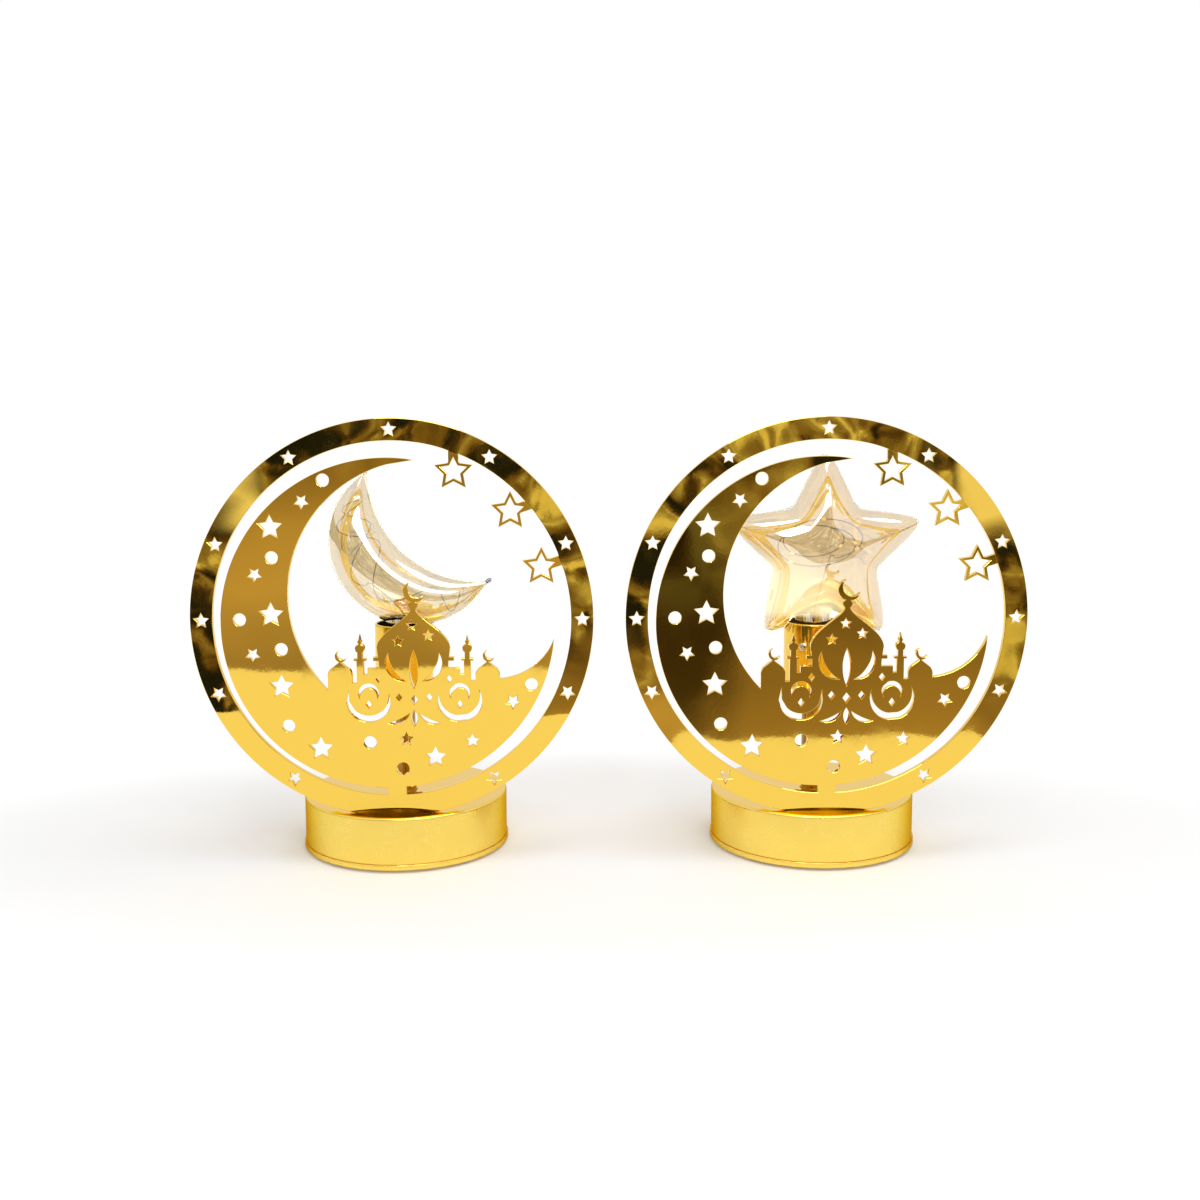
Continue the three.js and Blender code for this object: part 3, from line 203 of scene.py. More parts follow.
class LampStandColours(bpy.types.PropertyGroup):
    """Colours of the finishes."""

    gold: colour_setting("Gold", "Plated gold", 0xF5CC55)
    glass: colour_setting("Glass", "Champagne tint of the lamp glass", 0xF8E9C6)
    glow: colour_setting("Glow", "Warm light of the lit lamp", 0xFFF1C4)
    wire: colour_setting("Wire", "Enamelled wire inside the glass", 0x5A4020)


class LampStandStage(bpy.types.PropertyGroup):
    """Floor, lamps and surroundings."""

    floor: colour_setting("Floor", "Pale table top", 0xF6F6F6)
    ambient: FloatProperty(
        name="Ambient", description="Strength of the even light from all round",
        default=0.64, min=0, max=2)
    overhead: power_setting("Overhead", "Power of the large lamp above", 3.2)
    strip: power_setting("Strip", "Power of the narrow lamp in front of the pair", 0.8)
    side: power_setting("Side", "Power of the small square lamp on the left", 0.15)
    lamp_bead: power_setting("Lit bead", "Power of the lit bead at the star lamp's neck", 0.02)


# Meshes
def on_circle(centre, radius, angle):
    """The flat point at an angle round a centre."""
    return centre[0] + radius * cos(angle), centre[1] + radius * sin(angle)


def placed(name, data):
    """A new object in the scene."""
    thing = bpy.data.objects.new(name, data)
    bpy.context.scene.collection.objects.link(thing)
    return thing


def new_piece(prefix, name, mesh, materials, solid=None, body="stand"):
    """Puts a mesh into the scene as a piece that rides on a body and may take a solid's place."""
    piece = placed(f"{prefix}_{name}", mesh)
    for material in materials:
        mesh.materials.append(material)
    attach(piece, f"{prefix}_{body}")
    if solid:
        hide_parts(f"{prefix}_{solid}")


def shade(mesh, angle=30):
    """Smooth shading that keeps edges sharper than the angle."""
    mesh.shade_smooth()
    mesh.set_sharp_from_angle(angle=radians(angle))
    return mesh


def mesh_from(points, faces):
    """A closed mesh of points in millimetres, with its faces turned outward."""
    mesh = bpy.data.meshes.new("mesh")
    mesh.from_pydata([Vector(p) * MM for p in points], [], faces)
    bm = bmesh.new()
    bm.from_mesh(mesh)
    bmesh.ops.recalc_face_normals(bm, faces=bm.faces)
    bm.to_mesh(mesh)
    bm.free()
    return mesh


def turned(profile, sides, centre=(0, 0), start=0.0, sweep=360.0):
    """Turns a closed profile of (radius, height) about an upright axis, whole or in part."""
    whole = sweep >= 360
    steps = sides if whole else max(2, round(sides * sweep / 360))
    rows = steps if whole else steps + 1
    points = []
    for i in range(rows):
        angle = radians(start + sweep * i / steps)
        for radius, z in profile:
            points.append((*on_circle(centre, radius, angle), z))
    count = len(profile)
    faces = []
    for i in range(steps):
        for j in range(count):
            a, b = i * count, ((i + 1) % rows) * count
            k = (j + 1) % count
            faces.append((a + j, b + j, b + k, a + k))
    if not whole:
        faces.append(tuple(range(count)))
        faces.append(tuple((rows - 1) * count + j for j in range(count)))
    return mesh_from(points, faces)


def arc(centre, radius, start, end, steps):
    """Points on an arc of a flat outline, in degrees."""
    angles = [radians(start + (end - start) * i / steps) for i in range(steps + 1)]
    return [on_circle(centre, radius, angle) for angle in angles]


def box_mesh(low, high):
    """A block between two corners in millimetres."""
    xs, ys, zs = zip(low, high)
    points = [(x, y, z) for x in xs for y in ys for z in zs]
    faces = [(0, 1, 3, 2), (4, 6, 7, 5), (0, 4, 5, 1), (2, 3, 7, 6), (0, 2, 6, 4), (1, 5, 7, 3)]
    return mesh_from(points, faces)


def final_mesh(thing):
    """The mesh that an object ends up with. The object itself is removed."""
    bpy.context.view_layer.update()
    evaluated = thing.evaluated_get(bpy.context.evaluated_depsgraph_get())
    mesh = bpy.data.meshes.new_from_object(evaluated)
    bpy.data.objects.remove(thing)
    return mesh


def combined(mesh, other, how):
    """The union or difference of two closed meshes."""
    first, second = placed("first", mesh), placed("second", other)
    modifier = first.modifiers.new("join", "BOOLEAN")
    modifier.operation = how
    modifier.solver = "EXACT"
    modifier.object = second
    result = final_mesh(first)
    bpy.data.objects.remove(second)
    return result


def curve_mesh(lines, closed, **settings):
    """Mesh of a bevelled curve along lines of points in millimetres."""
    curve = bpy.data.curves.new("curve", "CURVE")
    for name, value in settings.items():
        setattr(curve, name, value)
    for line in lines:
        spline = curve.splines.new("POLY")
        spline.points.add(len(line) - 1)
        for target, place in zip(spline.points, line):
            target.co = (*(c * MM for c in place), 1)
        spline.use_cyclic_u = closed
    return final_mesh(placed("curve", curve))


def disc_profile(radius, low, high, fillet=0.0, steps=4):
    """Profile of a solid disc with a rounded upper and lower edge."""
    if fillet <= 0:
        return [(0, low), (radius, low), (radius, high), (0, high)]
    lower = arc((radius - fillet, low + fillet), fillet, -90, 0, steps)
    upper = arc((radius - fillet, high - fillet), fillet, 0, 90, steps)
    return [(0, low), *lower, *upper, (0, high)]


def node_box(prefix, node):
    """Corners of a solid in millimetres."""
    low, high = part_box(f"{prefix}_{node}")
    return low / MM, high / MM


def node_radius(prefix, node):
    """Half of a solid's breadth in millimetres."""
    low, high = node_box(prefix, node)
    return (high.x - low.x) / 2


# Finishes, with the breadths of what bends, frays or dulls them in millimetres
BOW, PEEL, SMEAR = 26, 1.2, 9
CLOUD, RIPPLE, GRAIN = 7, 18, 0.5
BLOWN_WAVE = 14
DRAWN_LENGTH, DRAWN_BREADTH = 2, 0.12
# Painted glow of the lit glass, in millimetres and a share: the distances from the bead over which it grows
# to its full share, and the heights over which it sets in
PAINTED_GLOW_FAR, PAINTED_GLOW_NEAR, PAINTED_GLOW_SHARE = 24, 5, 0.42
PAINTED_GLOW_FROM, PAINTED_GLOW_FULL = 74.5, 78


def mirror_gold(prefix, colour, ring_tilt, crescent_tilt, ring_dish):
    """Vacuum-plated ABS sheet in mirror gold.

    It mirrors its surroundings almost sharply. A slow bow in the thin sheet bends that picture,
    and an orange peel of about a millimetre frays the edges in it. Faint wiped smears dull it in places.
    """
    material, node = new_material(f"{prefix}_mirror_gold_plated_abs")
    place = node("TexCoord").outputs["Object"]
    from_centre = node("VectorMath", (
        place, (STAND_X[prefix] * MM, 0, PLATE_CENTRE_Z * MM)), operation="SUBTRACT")
    flat = node("VectorMath", (from_centre, (1, 0, 1)), operation="MULTIPLY")
    radius = node("VectorMath", (flat,), operation="LENGTH")
    height = node("SeparateXYZ", (flat,)).outputs["Z"]
    on_ring = node("Math", (radius, (RING_INNER - 0.3) * MM), operation="GREATER_THAN")
    tilt = node("MapRange", (on_ring, 0.0, 1.0, -tan(radians(crescent_tilt)), -tan(radians(ring_tilt))))
    leaning = node("Math", (height, tilt), operation="MULTIPLY")
    past_gap = node("Math", (radius, RING_INNER * MM), operation="SUBTRACT")
    dish = node("Math", (past_gap, -tan(radians(ring_dish))), operation="MULTIPLY")
    formed = node("Math", (dish, on_ring, leaning), operation="MULTIPLY_ADD")
    bow = node("TexNoise", {
        "Vector": place, "Scale": 1 / (BOW * MM), "Detail": 1.0, "Roughness": 0.4})
    bow_height = node("MapRange", (on_ring, 0.0, 1.0, 0.12 * MM, 0.75 * MM))
    bowed = node("Math", (bow, bow_height, formed), operation="MULTIPLY_ADD")
    peel = node("TexNoise", {"Vector": place, "Scale": 1 / (PEEL * MM), "Detail": 2.0})
    surface = node("Math", (peel, 0.0016 * MM, bowed), operation="MULTIPLY_ADD")
    bump = node("Bump", {"Height": surface, "Distance": 1.0})
    smears = node("TexNoise", {"Vector": place, "Scale": 1 / (SMEAR * MM), "Detail": 4.0, "Roughness": 0.6})
    rough = node("MapRange", (smears, 0.5, 0.8, 0.03, 0.09))
    shader = node("BsdfPrincipled", {
        "Base Color": colour, "Metallic": 1.0, "Roughness": rough, "Normal": bump})
    return finished(material, shader)


def plated_gold(name, colour, roughness, ripple, grazing=(1, 1, 1)):
    """Electroplated ABS in gold.

    The moulded skin under the plating softens what it mirrors, its slow ripple bends it,
    and handling leaves it a little duller in cloudy patches.
    """
    material, node = new_material(name)
    place = node("TexCoord").outputs["Object"]
    clouds = node("TexNoise", {"Vector": place, "Scale": 1 / (CLOUD * MM), "Detail": 4.0, "Roughness": 0.55})
    rough = node("MapRange", (clouds, 0.3, 0.75, roughness * 0.92, roughness * 1.12))
    deeper = tuple(c * k for c, k in zip(colour, (0.98, 0.94, 0.84)))
    tone = node("Mix", (clouds, colour, deeper), **COLOURS)
    waves = node("TexNoise", {"Vector": place, "Scale": 1 / (RIPPLE * MM), "Detail": 0.0})
    grain = node("TexNoise", {"Vector": place, "Scale": 1 / (GRAIN * MM), "Detail": 2.0})
    surface = node("Math", (grain, 0.002, waves), operation="MULTIPLY_ADD")
    bump = node("Bump", {"Height": surface, "Distance": ripple * MM})
    shader = node("BsdfPrincipled", {
        "Base Color": tone, "Metallic": 1.0, "Roughness": rough, "Normal": bump,
        "Specular Tint": grazing})
    return finished(material, shader)


def tinted_glass(name, colour, lustre, glow=None, glow_centre=(0, 0, 0)):
    """Blown soda-lime glass, with a fired champagne lustre on its outer skin.

    It is clear and sharp, with slow waves from blowing and a tint that gathers towards its edges.
    The lustre doubles its highlights. The lit one carries a painted glow: near its lamp bead the glass
    itself gives off warm light.
    """
    material, node = new_material(name)
    place = node("TexCoord").outputs["Object"]
    waves = node("TexNoise", {"Vector": place, "Scale": 1 / (BLOWN_WAVE * MM), "Detail": 1.0})
    bump = node("Bump", {"Height": waves, "Distance": 0.05 * MM})
    edge = node("LayerWeight", {"Blend": 0.35}).outputs["Facing"]
    deep = tuple(c * k for c, k in zip(colour, (0.82, 0.79, 0.66)))
    tint = node("Mix", (edge, colour, deep), **COLOURS)
    glass = node("BsdfPrincipled", {
        "Base Color": tint, "Roughness": 0.01, "IOR": 1.5, "Transmission Weight": 1.0,
        "Coat Weight": lustre, "Coat IOR": 3.4, "Coat Roughness": 0.02, "Normal": bump,
        "Coat Normal": bump})
    # Painted glow: near the bead, and from a height upward, the glass itself gives off warm light
    if glow:
        distance = node("VectorMath", (place, tuple(c * MM for c in glow_centre)), operation="DISTANCE")
        near = node("MapRange", (
            distance, PAINTED_GLOW_FAR * MM, PAINTED_GLOW_NEAR * MM, 0.0, PAINTED_GLOW_SHARE), interpolation_type="SMOOTHERSTEP")
        height = node("SeparateXYZ", (place,)).outputs["Z"]
        above = node("MapRange", (height, PAINTED_GLOW_FROM * MM, PAINTED_GLOW_FULL * MM), **SMOOTH)
        near = node("Math", (near, above), operation="MULTIPLY")
        painted_glow = node("Emission", {"Color": glow, "Strength": 1.3})
        glass = node("MixShader", (near, glass, painted_glow))
    rays = node("LightPath")
    passing = node("Math", (
        rays.outputs["Is Shadow Ray"], rays.outputs["Is Diffuse Ray"]), operation="MAXIMUM")
    clear = node("BsdfTransparent", {"Color": colour})
    mixed = node("MixShader", (passing, glass, clear))
    return finished(material, mixed)


def moulded_plastic(name, colour, roughness, grain_mm=0.6, depth_mm=0.01):
    """Moulded ABS: an even colour with the fine spark texture of its mould and a slight sheen."""
    material, node = new_material(name)
    place = node("TexCoord").outputs["Object"]
    grain = node("TexNoise", {"Vector": place, "Scale": 1 / (grain_mm * MM), "Detail": 3.0})
    worn = tuple(min(1, c * 1.25 + 0.004) for c in colour)
    tone = node("Mix", (grain, colour, worn), **COLOURS)
    rough = node("MapRange", (grain, 0.0, 1.0, roughness * 0.8, roughness * 1.25))
    bump = node("Bump", {"Height": grain, "Distance": depth_mm * MM, "Strength": 0.6})
    shader = node("BsdfPrincipled", {"Base Color": tone, "Roughness": rough, "Normal": bump})
    return finished(material, shader)


def plated_steel(name, colour, roughness):
    """Zinc or nickel plated steel: a grey metal with fine drawn lines that spread its highlights."""
    material, node = new_material(name)
    place = node("TexCoord").outputs["Object"]
    along, across = 1 / (DRAWN_LENGTH * MM), 1 / (DRAWN_BREADTH * MM)
    drawn = node("Mapping", {"Vector": place, "Scale": (along, along, across)})
    lines = node("TexNoise", {"Vector": drawn, "Scale": 1.0, "Detail": 3.0})
    dull = tuple(c * 0.8 for c in colour)
    tone = node("Mix", (lines, colour, dull), **COLOURS)
    rough = node("MapRange", (lines, 0.0, 1.0, roughness * 0.7, roughness * 1.4))
    shader = node("BsdfPrincipled", {"Base Color": tone, "Metallic": 1.0, "Roughness": rough})
    return finished(material, shader)


def lamp_resin(name, colour, strength):
    """Clear resin drop over a lamp chip: a glossy bead, pale when off and warm when lit."""
    material, node = new_material(name)
    facing = node("LayerWeight", {"Blend": 0.4}).outputs["Facing"]
    tone = node("Mix", (facing, colour, linear(0xE9DFC8)), **COLOURS)
    shader = node("BsdfPrincipled", {
        "Base Color": tone, "Roughness": 0.12, "Emission Color": colour, "Emission Strength": strength})
    return finished(material, shader)


# Face plates
def face_outlines(node):
    """Closed outlines of a plate's front face, as lists of (x, z) in millimetres."""
    bm = bmesh.new()
    bm.from_mesh(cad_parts[node].data)
    bmesh.ops.remove_doubles(bm, verts=bm.verts, dist=WELD * MM)
    front = min(v.co.y for v in bm.verts)
    faces = {f for f in bm.faces if all(v.co.y - front < WELD * MM for v in f.verts)}
    beside = {}
    for edge in bm.edges:
        if sum(f in faces for f in edge.link_faces) == 1:
            a, b = edge.verts
            beside.setdefault(a, []).append(b)
            beside.setdefault(b, []).append(a)
    outlines = []
    left = set(beside)
    while left:
        first = min(left, key=lambda v: v.index)
        loop, here, last = [], first, None
        while here is not None and here in left:
            left.discard(here)
            loop.append((here.co.x / MM, here.co.z / MM))
            onward = [v for v in beside[here] if v is not last and v in left]
            here, last = (onward[0] if onward else None), here
        outlines.append(loop)
    bm.free()
    return outlines, front / MM


def turn_at(a, b, c):
    """Signed turning angle of an outline at its middle point."""
    before = Vector(b) - Vector(a)
    after = Vector(c) - Vector(b)
    return atan2(before.x * after.y - before.y * after.x, before.dot(after))


def rounded_outline(points, steps=4):
    """Draws arcs through an outline's smooth stretches and keeps its corners and straight runs."""
    count = len(points)
    turns = [turn_at(points[i - 1], points[i], points[(i + 1) % count]) for i in range(count)]
    lengths = [dist(points[i], points[(i + 1) % count]) for i in range(count)]

    def bend(i, edge, neighbour):
        """Arc angle that the point at i gives to an edge, or None where the point is a corner."""
        ratio = lengths[edge] / max(lengths[neighbour], 1e-9)
        if abs(turns[i]) > CORNER or not 0.45 < ratio < 2.2:
            return None
        return turns[i] * 2 * ratio / (1 + ratio)

    finer = []
    for i in range(count):
        j = (i + 1) % count
        bends = [b for b in (bend(i, i, i - 1), bend(j, i, j)) if b is not None]
        angle = sum(bends) / len(bends) if bends else 0.0
        if len(bends) == 2 and bends[0] * bends[1] < 0:
            angle = 0.0
        finer.append(points[i])
        if abs(angle) > radians(1.5):
            finer += arc_between(points[i], points[j], angle, steps)
    return finer


def arc_between(a, b, angle, steps):
    """Inner points of the arc from a to b that turns by an angle."""
    a, b = Vector(a), Vector(b)
    along = (b - a).normalized()
    out = Vector((along.y, -along.x)) * copysign(1, angle)
    middle = (a + b) / 2
    radius = (b - a).length / (2 * sin(abs(angle) / 2))
    points = []
    for i in range(1, steps):
        at = abs(angle) * (i / steps - 0.5)
        offset = radius * (cos(at) - cos(angle / 2))
        points.append(tuple(middle + along * radius * sin(at) + out * offset))
    return points


def sheet_mesh(outlines, front, thickness, edge):
    """A flat sheet with holes and finely rounded edges, upright, with its front at y = front."""
    flat = [[(x, z, 0) for x, z in outline] for outline in outlines]
    mesh = curve_mesh(flat, True, dimensions="2D", fill_mode="BOTH", extrude=thickness * MM / 2 - edge,
                      bevel_depth=edge, bevel_resolution=1, offset=-edge)
    upright = Matrix.Rotation(radians(90), 4, "X")
    mesh.transform(Matrix.Translation((0, (front + thickness / 2) * MM, 0)) @ upright)
    return mesh


class OBJECT_OT_face_plates(bpy.types.Operator):
    """Make the mirror plates with their cut crescents, skylines and stars."""

    bl_idname = "object.lamp_stand_face_plates"
    bl_label = "Face Plates"

    def execute(self, context):
        sizes = context.scene.lamp_stand_sizes
        colours = context.scene.lamp_stand_colours
        bends = {"moon": (6.0, 1.4, 5.0), "star": (7.1, 4.37, 4.0)}
        for prefix in PREFIXES:
            low, high = node_box(prefix, "face_plate")
            outlines, front = face_outlines(f"{prefix}_face_plate")
            fine = [rounded_outline(outline) for outline in outlines]
            mesh = sheet_mesh(fine, front, high.y - low.y, sizes.plate_edge)
            shade(mesh, 12)
            gold = mirror_gold(prefix, colours.gold, *bends[prefix])
            new_piece(prefix, "plate", mesh, [gold], "face_plate")
        return {"FINISHED"}


# Bases
def drum_mesh(prefix, sizes):
    """The drum's shell, with the slot that takes the plate and the hole for the stem."""
    low, high = node_box(prefix, "base_shell")
    plate_low, plate_high = node_box(prefix, "face_plate")
    x = STAND_X[prefix]
    radius = node_radius(prefix, "base_shell")
    fillet = sizes.drum_fillet / MM
    hole = node_radius(prefix, "stem_tube") + STEM_PLAY
    profile = [
        (radius - DRUM_WALL, low.z), (radius - DRUM_FOOT, low.z), (radius, low.z + DRUM_FOOT),
        *arc((radius - fillet, high.z - fillet), fillet, 0, 90, 6),
        (radius - 2.2, high.z), (hole + 0.4, high.z), (hole, high.z - 0.3),
        (hole, high.z - DRUM_ROOF), (radius - DRUM_WALL, high.z - DRUM_ROOF),
    ]
    shell = turned(profile, sizes.round_sides, AXIS[prefix])
    slot = box_mesh((x - SLOT_HALF, plate_low.y - SLOT_PLAY, high.z - SLOT_DEPTH),
                    (x + SLOT_HALF, plate_high.y + SLOT_PLAY, high.z + 5))
    return combined(shell, slot, "DIFFERENCE")


def top_faces(mesh, height, behind):
    """Gives the faces that lie at a height their own finish, in front of the plate and behind it. The two
    are copies of one gold with painted light: the one behind the plate turns white at grazing angles and
    reads paler.
    """
    for face in mesh.polygons:
        if face.center.z > (height - 0.08) * MM and face.normal.z > 0.8:
            face.material_index = 2 if face.center.y > behind * MM else 1


def rim_profile(radius, low, high):
    """Section of the cover's lip, rounded on its outer corners."""
    outer = radius - LIP_ROUNDING
    return [
        (radius - LIP_WALL, low), *arc((outer, low + LIP_ROUNDING), LIP_ROUNDING, -90, 0, 3),
        *arc((outer, high - LIP_ROUNDING), LIP_ROUNDING, 0, 90, 3), (radius - LIP_WALL, high),
    ]


class OBJECT_OT_bases(bpy.types.Operator):
    """Make the drums and the lips of their covers."""

    bl_idname = "object.lamp_stand_bases"
    bl_label = "Bases"

    def execute(self, context):
        sizes = context.scene.lamp_stand_sizes
        gold = context.scene.lamp_stand_colours.gold
        satin = plated_gold("satin_gold_plated_abs", linear(0xFFE172), 0.28, 0.05, (0.6, 0.36, 0.1))
        # Painted light: one gold top in two copies, the one behind the plate paler at grazing angles than
        # the front
        front = plated_gold("bright_gold_plated_abs", gold, 0.09, 0.05, (1.0, 0.75, 0.22))
        back = plated_gold("painted_pale_gold_top_behind_plate", gold, 0.09, 0.05)
        for prefix in PREFIXES:
            mesh = drum_mesh(prefix, sizes)
            new_piece(prefix, "drum", mesh, [satin, front, back], "base_shell")
            top_faces(mesh, node_box(prefix, "base_shell")[1].z, node_box(prefix, "face_plate")[1].y)
            shade(mesh)
            self.lips(prefix, sizes, satin)
        return {"FINISHED"}

    def lips(self, prefix, sizes, satin):
        """The cover's lip, open where the door leaves it, and the door's own stretch of it."""
        radius = node_radius(prefix, "bottom_cover") + 0.03
        low, high = (node_box(prefix, node)[0].z - 0.02 for node in ("bottom_cover", "base_shell"))
        profile = rim_profile(radius, low, high)
        half = degrees(asin(node_radius(prefix, "battery_door") / radius))
        clear = degrees(DOOR_GAP / radius)
        outer, inner = half + clear, half - clear
        cover = turned(profile, sizes.round_sides, AXIS[prefix], 90 + outer, 360 - 2 * outer)
        door = turned(profile, sizes.round_sides, AXIS[prefix], 90 - inner, 2 * inner)
        new_piece(prefix, "cover_lip", shade(cover), [satin])
        new_piece(prefix, "door_lip", shade(door), [satin], body="door")


# Lamp cups and stems
def screw_mesh(radius, height, sides=40):
    """A domed screw head with a cross recess, standing on z = 0."""
    dome = [(radius * cos(a), height * (0.35 + 0.65 * sin(a))) for a in map(radians, range(15, 91, 15))]
    head = turned([(0, 0), (radius, 0), (radius, height * 0.35), *dome], sides)
    arm, half = radius * 0.55, radius * 0.13
    for x, y in ((arm, half), (half, arm)):
        recess = box_mesh((-x, -y, height * 0.45), (x, y, height * 1.5))
        head = combined(head, recess, "DIFFERENCE")
    return head


def cup_mesh(prefix, sizes):
    """The lamp cup, open above, with a rounded foot and rim."""
    low, high = node_box(prefix, "lamp_cup")
    radius = node_radius(prefix, "lamp_cup")
    fillet = sizes.cup_fillet / MM
    profile = [
        (CUP_HOLE, low.z), *arc((radius - fillet, low.z + fillet), fillet, -90, 0, 8),
        *arc((radius - CUP_WALL / 2, high.z - CUP_WALL / 2), CUP_WALL / 2, 0, 180, 8),
        (radius - CUP_WALL, low.z + CUP_FLOOR), (CUP_HOLE, low.z + CUP_FLOOR),
    ]
    mesh = turned(profile, 96, AXIS[prefix])
    axis = Vector((STAND_X[prefix] * MM, 0))
    # Painted shade: the cup's inner wall and floor take black plastic, standing in for the shade in the
    # narrow gap round the lamp's neck
    for face in mesh.polygons:
        inside = (face.center.xy - axis).length < (radius - CUP_WALL / 2) * MM
        if inside and (low.z + CUP_FLOOR / 2) * MM < face.center.z < (high.z - 0.1) * MM:
            face.material_index = 1
    return mesh


class OBJECT_OT_lamp_cups(bpy.types.Operator):
    """Make the stems, the lamp cups and their screws."""

    bl_idname = "object.lamp_stand_lamp_cups"
    bl_label = "Lamp Cups"

    def execute(self, context):
        sizes = context.scene.lamp_stand_sizes
        gold = context.scene.lamp_stand_colours.gold
        polished = plated_gold("polished_gold_plated_cup", gold, 0.14, 0.03)
        # Painted shade: the stem behind the plate is a darker copy of the gold
        tube = plated_gold("painted_shade_gold_stem", linear(0xA88848), 0.2, 0.02)
        # Painted shade for the inside of the cup, as black plastic
        painted_shade_inside = moulded_plastic("black_painted_shade_inside_cup", linear(0x1B1A1C), 0.16, 4.0, 0.02)
        head = plated_steel("zinc_plated_screw_head", linear(0xE3DCC8), 0.18)
        for prefix in PREFIXES:
            cup = shade(cup_mesh(prefix, sizes))
            new_piece(prefix, "cup", cup, [polished, painted_shade_inside], "lamp_cup")
            new_piece(prefix, "stem", self.stem(prefix), [tube], "stem_tube")
            new_piece(prefix, "cup_screw_head", self.screw(prefix), [head], "cup_screw")
        return {"FINISHED"}

    def stem(self, prefix):
        low, high = node_box(prefix, "stem_tube")
        radius, chamfer = node_radius(prefix, "stem_tube"), 0.2
        profile = [
            (STEM_BORE, low.z), (radius - chamfer, low.z), (radius, low.z + chamfer),
            (radius, high.z - chamfer), (radius - chamfer, high.z), (STEM_BORE, high.z),
        ]
        return shade(turned(profile, 64, AXIS[prefix]))

    def screw(self, prefix):
        """The small screw in the cup's side, lying along its own radius."""
        low, high = node_box(prefix, "cup_screw")
        radius = node_radius(prefix, "lamp_cup")
        shank = turned(disc_profile(0.8, -2.6, 0.2), 24)
        mesh = combined(screw_mesh(1.45, 0.95), shank, "UNION")
        turn = Matrix.Rotation(SCREW_TURN, 4, "Z") @ Matrix.Rotation(radians(90), 4, "Y")
        seat = Vector((*on_circle(AXIS[prefix], radius, SCREW_TURN), (low.z + high.z) / 2)) * MM
        mesh.transform(Matrix.Translation(seat) @ turn)
        return shade(mesh, 40)


# Lamp glass
def circles_meet(a, b, side):
    """The point where two circles of an outline cross."""
    start = Vector(a[0])
    gap = Vector(b[0]) - start
    span = gap.length
    along = (a[1] ** 2 - b[1] ** 2 + span ** 2) / (2 * span)
    across = side * sqrt(a[1] ** 2 - along ** 2)
    gap.normalize()
    return start + gap * along + Vector((-gap.y, gap.x)) * across


def moon_station(share):
    """Middle of the moon at a share of its length, and the vector across it."""
    tips = [circles_meet(MOON_OUTER, MOON_INNER, side) for side in (1, -1)]

    def along(circle):
        centre = Vector(circle[0])
        start, end = (atan2(*(tip - centre).yx) for tip in tips)
        end += tau if end < start else 0
        angle = start + (end - start) * share
        return centre + Vector((cos(angle), sin(angle))) * circle[1]

    outer, inner = along(MOON_OUTER), along(MOON_INNER)
    return (outer + inner) / 2, outer - inner


def skin_mesh(rings, first, last):
    """A closed skin through rings of points with an end point before and after them."""
    sides = len(rings[0])
    points = [first, *(p for ring in rings for p in ring), last]
    faces = []
    for s in range(sides):
        t = (s + 1) % sides
        faces.append((0, 1 + t, 1 + s))
        end = 1 + (len(rings) - 1) * sides
        faces.append((len(points) - 1, end + s, end + t))
        for r in range(len(rings) - 1):
            a = 1 + r * sides
            faces.append((a + s, a + t, a + sides + t, a + sides + s))
    return mesh_from(points, faces)


def moon_skin(x, inset, stations=110, sides=56):
    """The moon's glass skin, drawn in by an inset."""
    rings = []
    for i in range(1, stations):
        t = (1 - cos(pi * i / stations)) / 2
        share = MOON_END + (1 - 2 * MOON_END) * t
        middle, across = moon_station(share)
        cap = min(1.0, min(t, 1 - t) / MOON_CAP)
        half = max(across.length / 2, MOON_TIP_RADIUS) * sqrt(1 - (1 - cap) ** 2)
        half = max(half - inset, 0.05)
        across.normalize()
        ring = []
        for s in range(sides):
            angle = tau * s / sides
            wide = half * cos(angle)
            deep = half * MOON_DEPTH_RATIO * sin(angle)
            ring.append((x + middle.x + across.x * wide, deep, middle.y + across.y * wide))
        rings.append(ring)
    trim = MOON_END + (0.006 if inset > 0 else 0)
    ends = [moon_station(share)[0] for share in (trim, 1 - trim)]
    return skin_mesh(rings, *((x + e.x, 0, e.y) for e in ends))


def star_rim(angle):
    """Distance from the star's centre to its rim at an angle, with rounded points and notches."""
    from_point = abs((angle + radians(18)) % (2 * STAR_ARM) - STAR_ARM)
    off_point = hypot(from_point, STAR_POINT_ROUNDING)
    off_notch = hypot(STAR_ARM - off_point, STAR_NOTCH_ROUNDING)
    side = STAR_POINT * sin(STAR_ARM - off_notch) + STAR_NOTCH * sin(off_notch)
    return STAR_POINT * STAR_NOTCH * sin(STAR_ARM) / side


def star_skin(x, inset, sides=300, layers=48):
    """The star's glass skin, swollen between its front and back."""
    depth = STAR_HALF_DEPTH - inset
    rings = []
    for i in range(1, layers):
        slope = pi * i / layers
        ring = []
        for s in range(sides):
            angle = tau * s / sides
            spread = sin(slope) ** 1.6
            rim = STAR_DOME + (star_rim(angle) - STAR_DOME) * spread
            reach = (rim - inset) * sin(slope)
            across, up = on_circle((x + STAR_CENTRE[0], STAR_CENTRE[1]), reach, angle)
            ring.append((across, -depth * cos(slope), up))
        rings.append(ring)
    return skin_mesh(rings, *((x + STAR_CENTRE[0], sign * depth, STAR_CENTRE[1]) for sign in (-1, 1)))


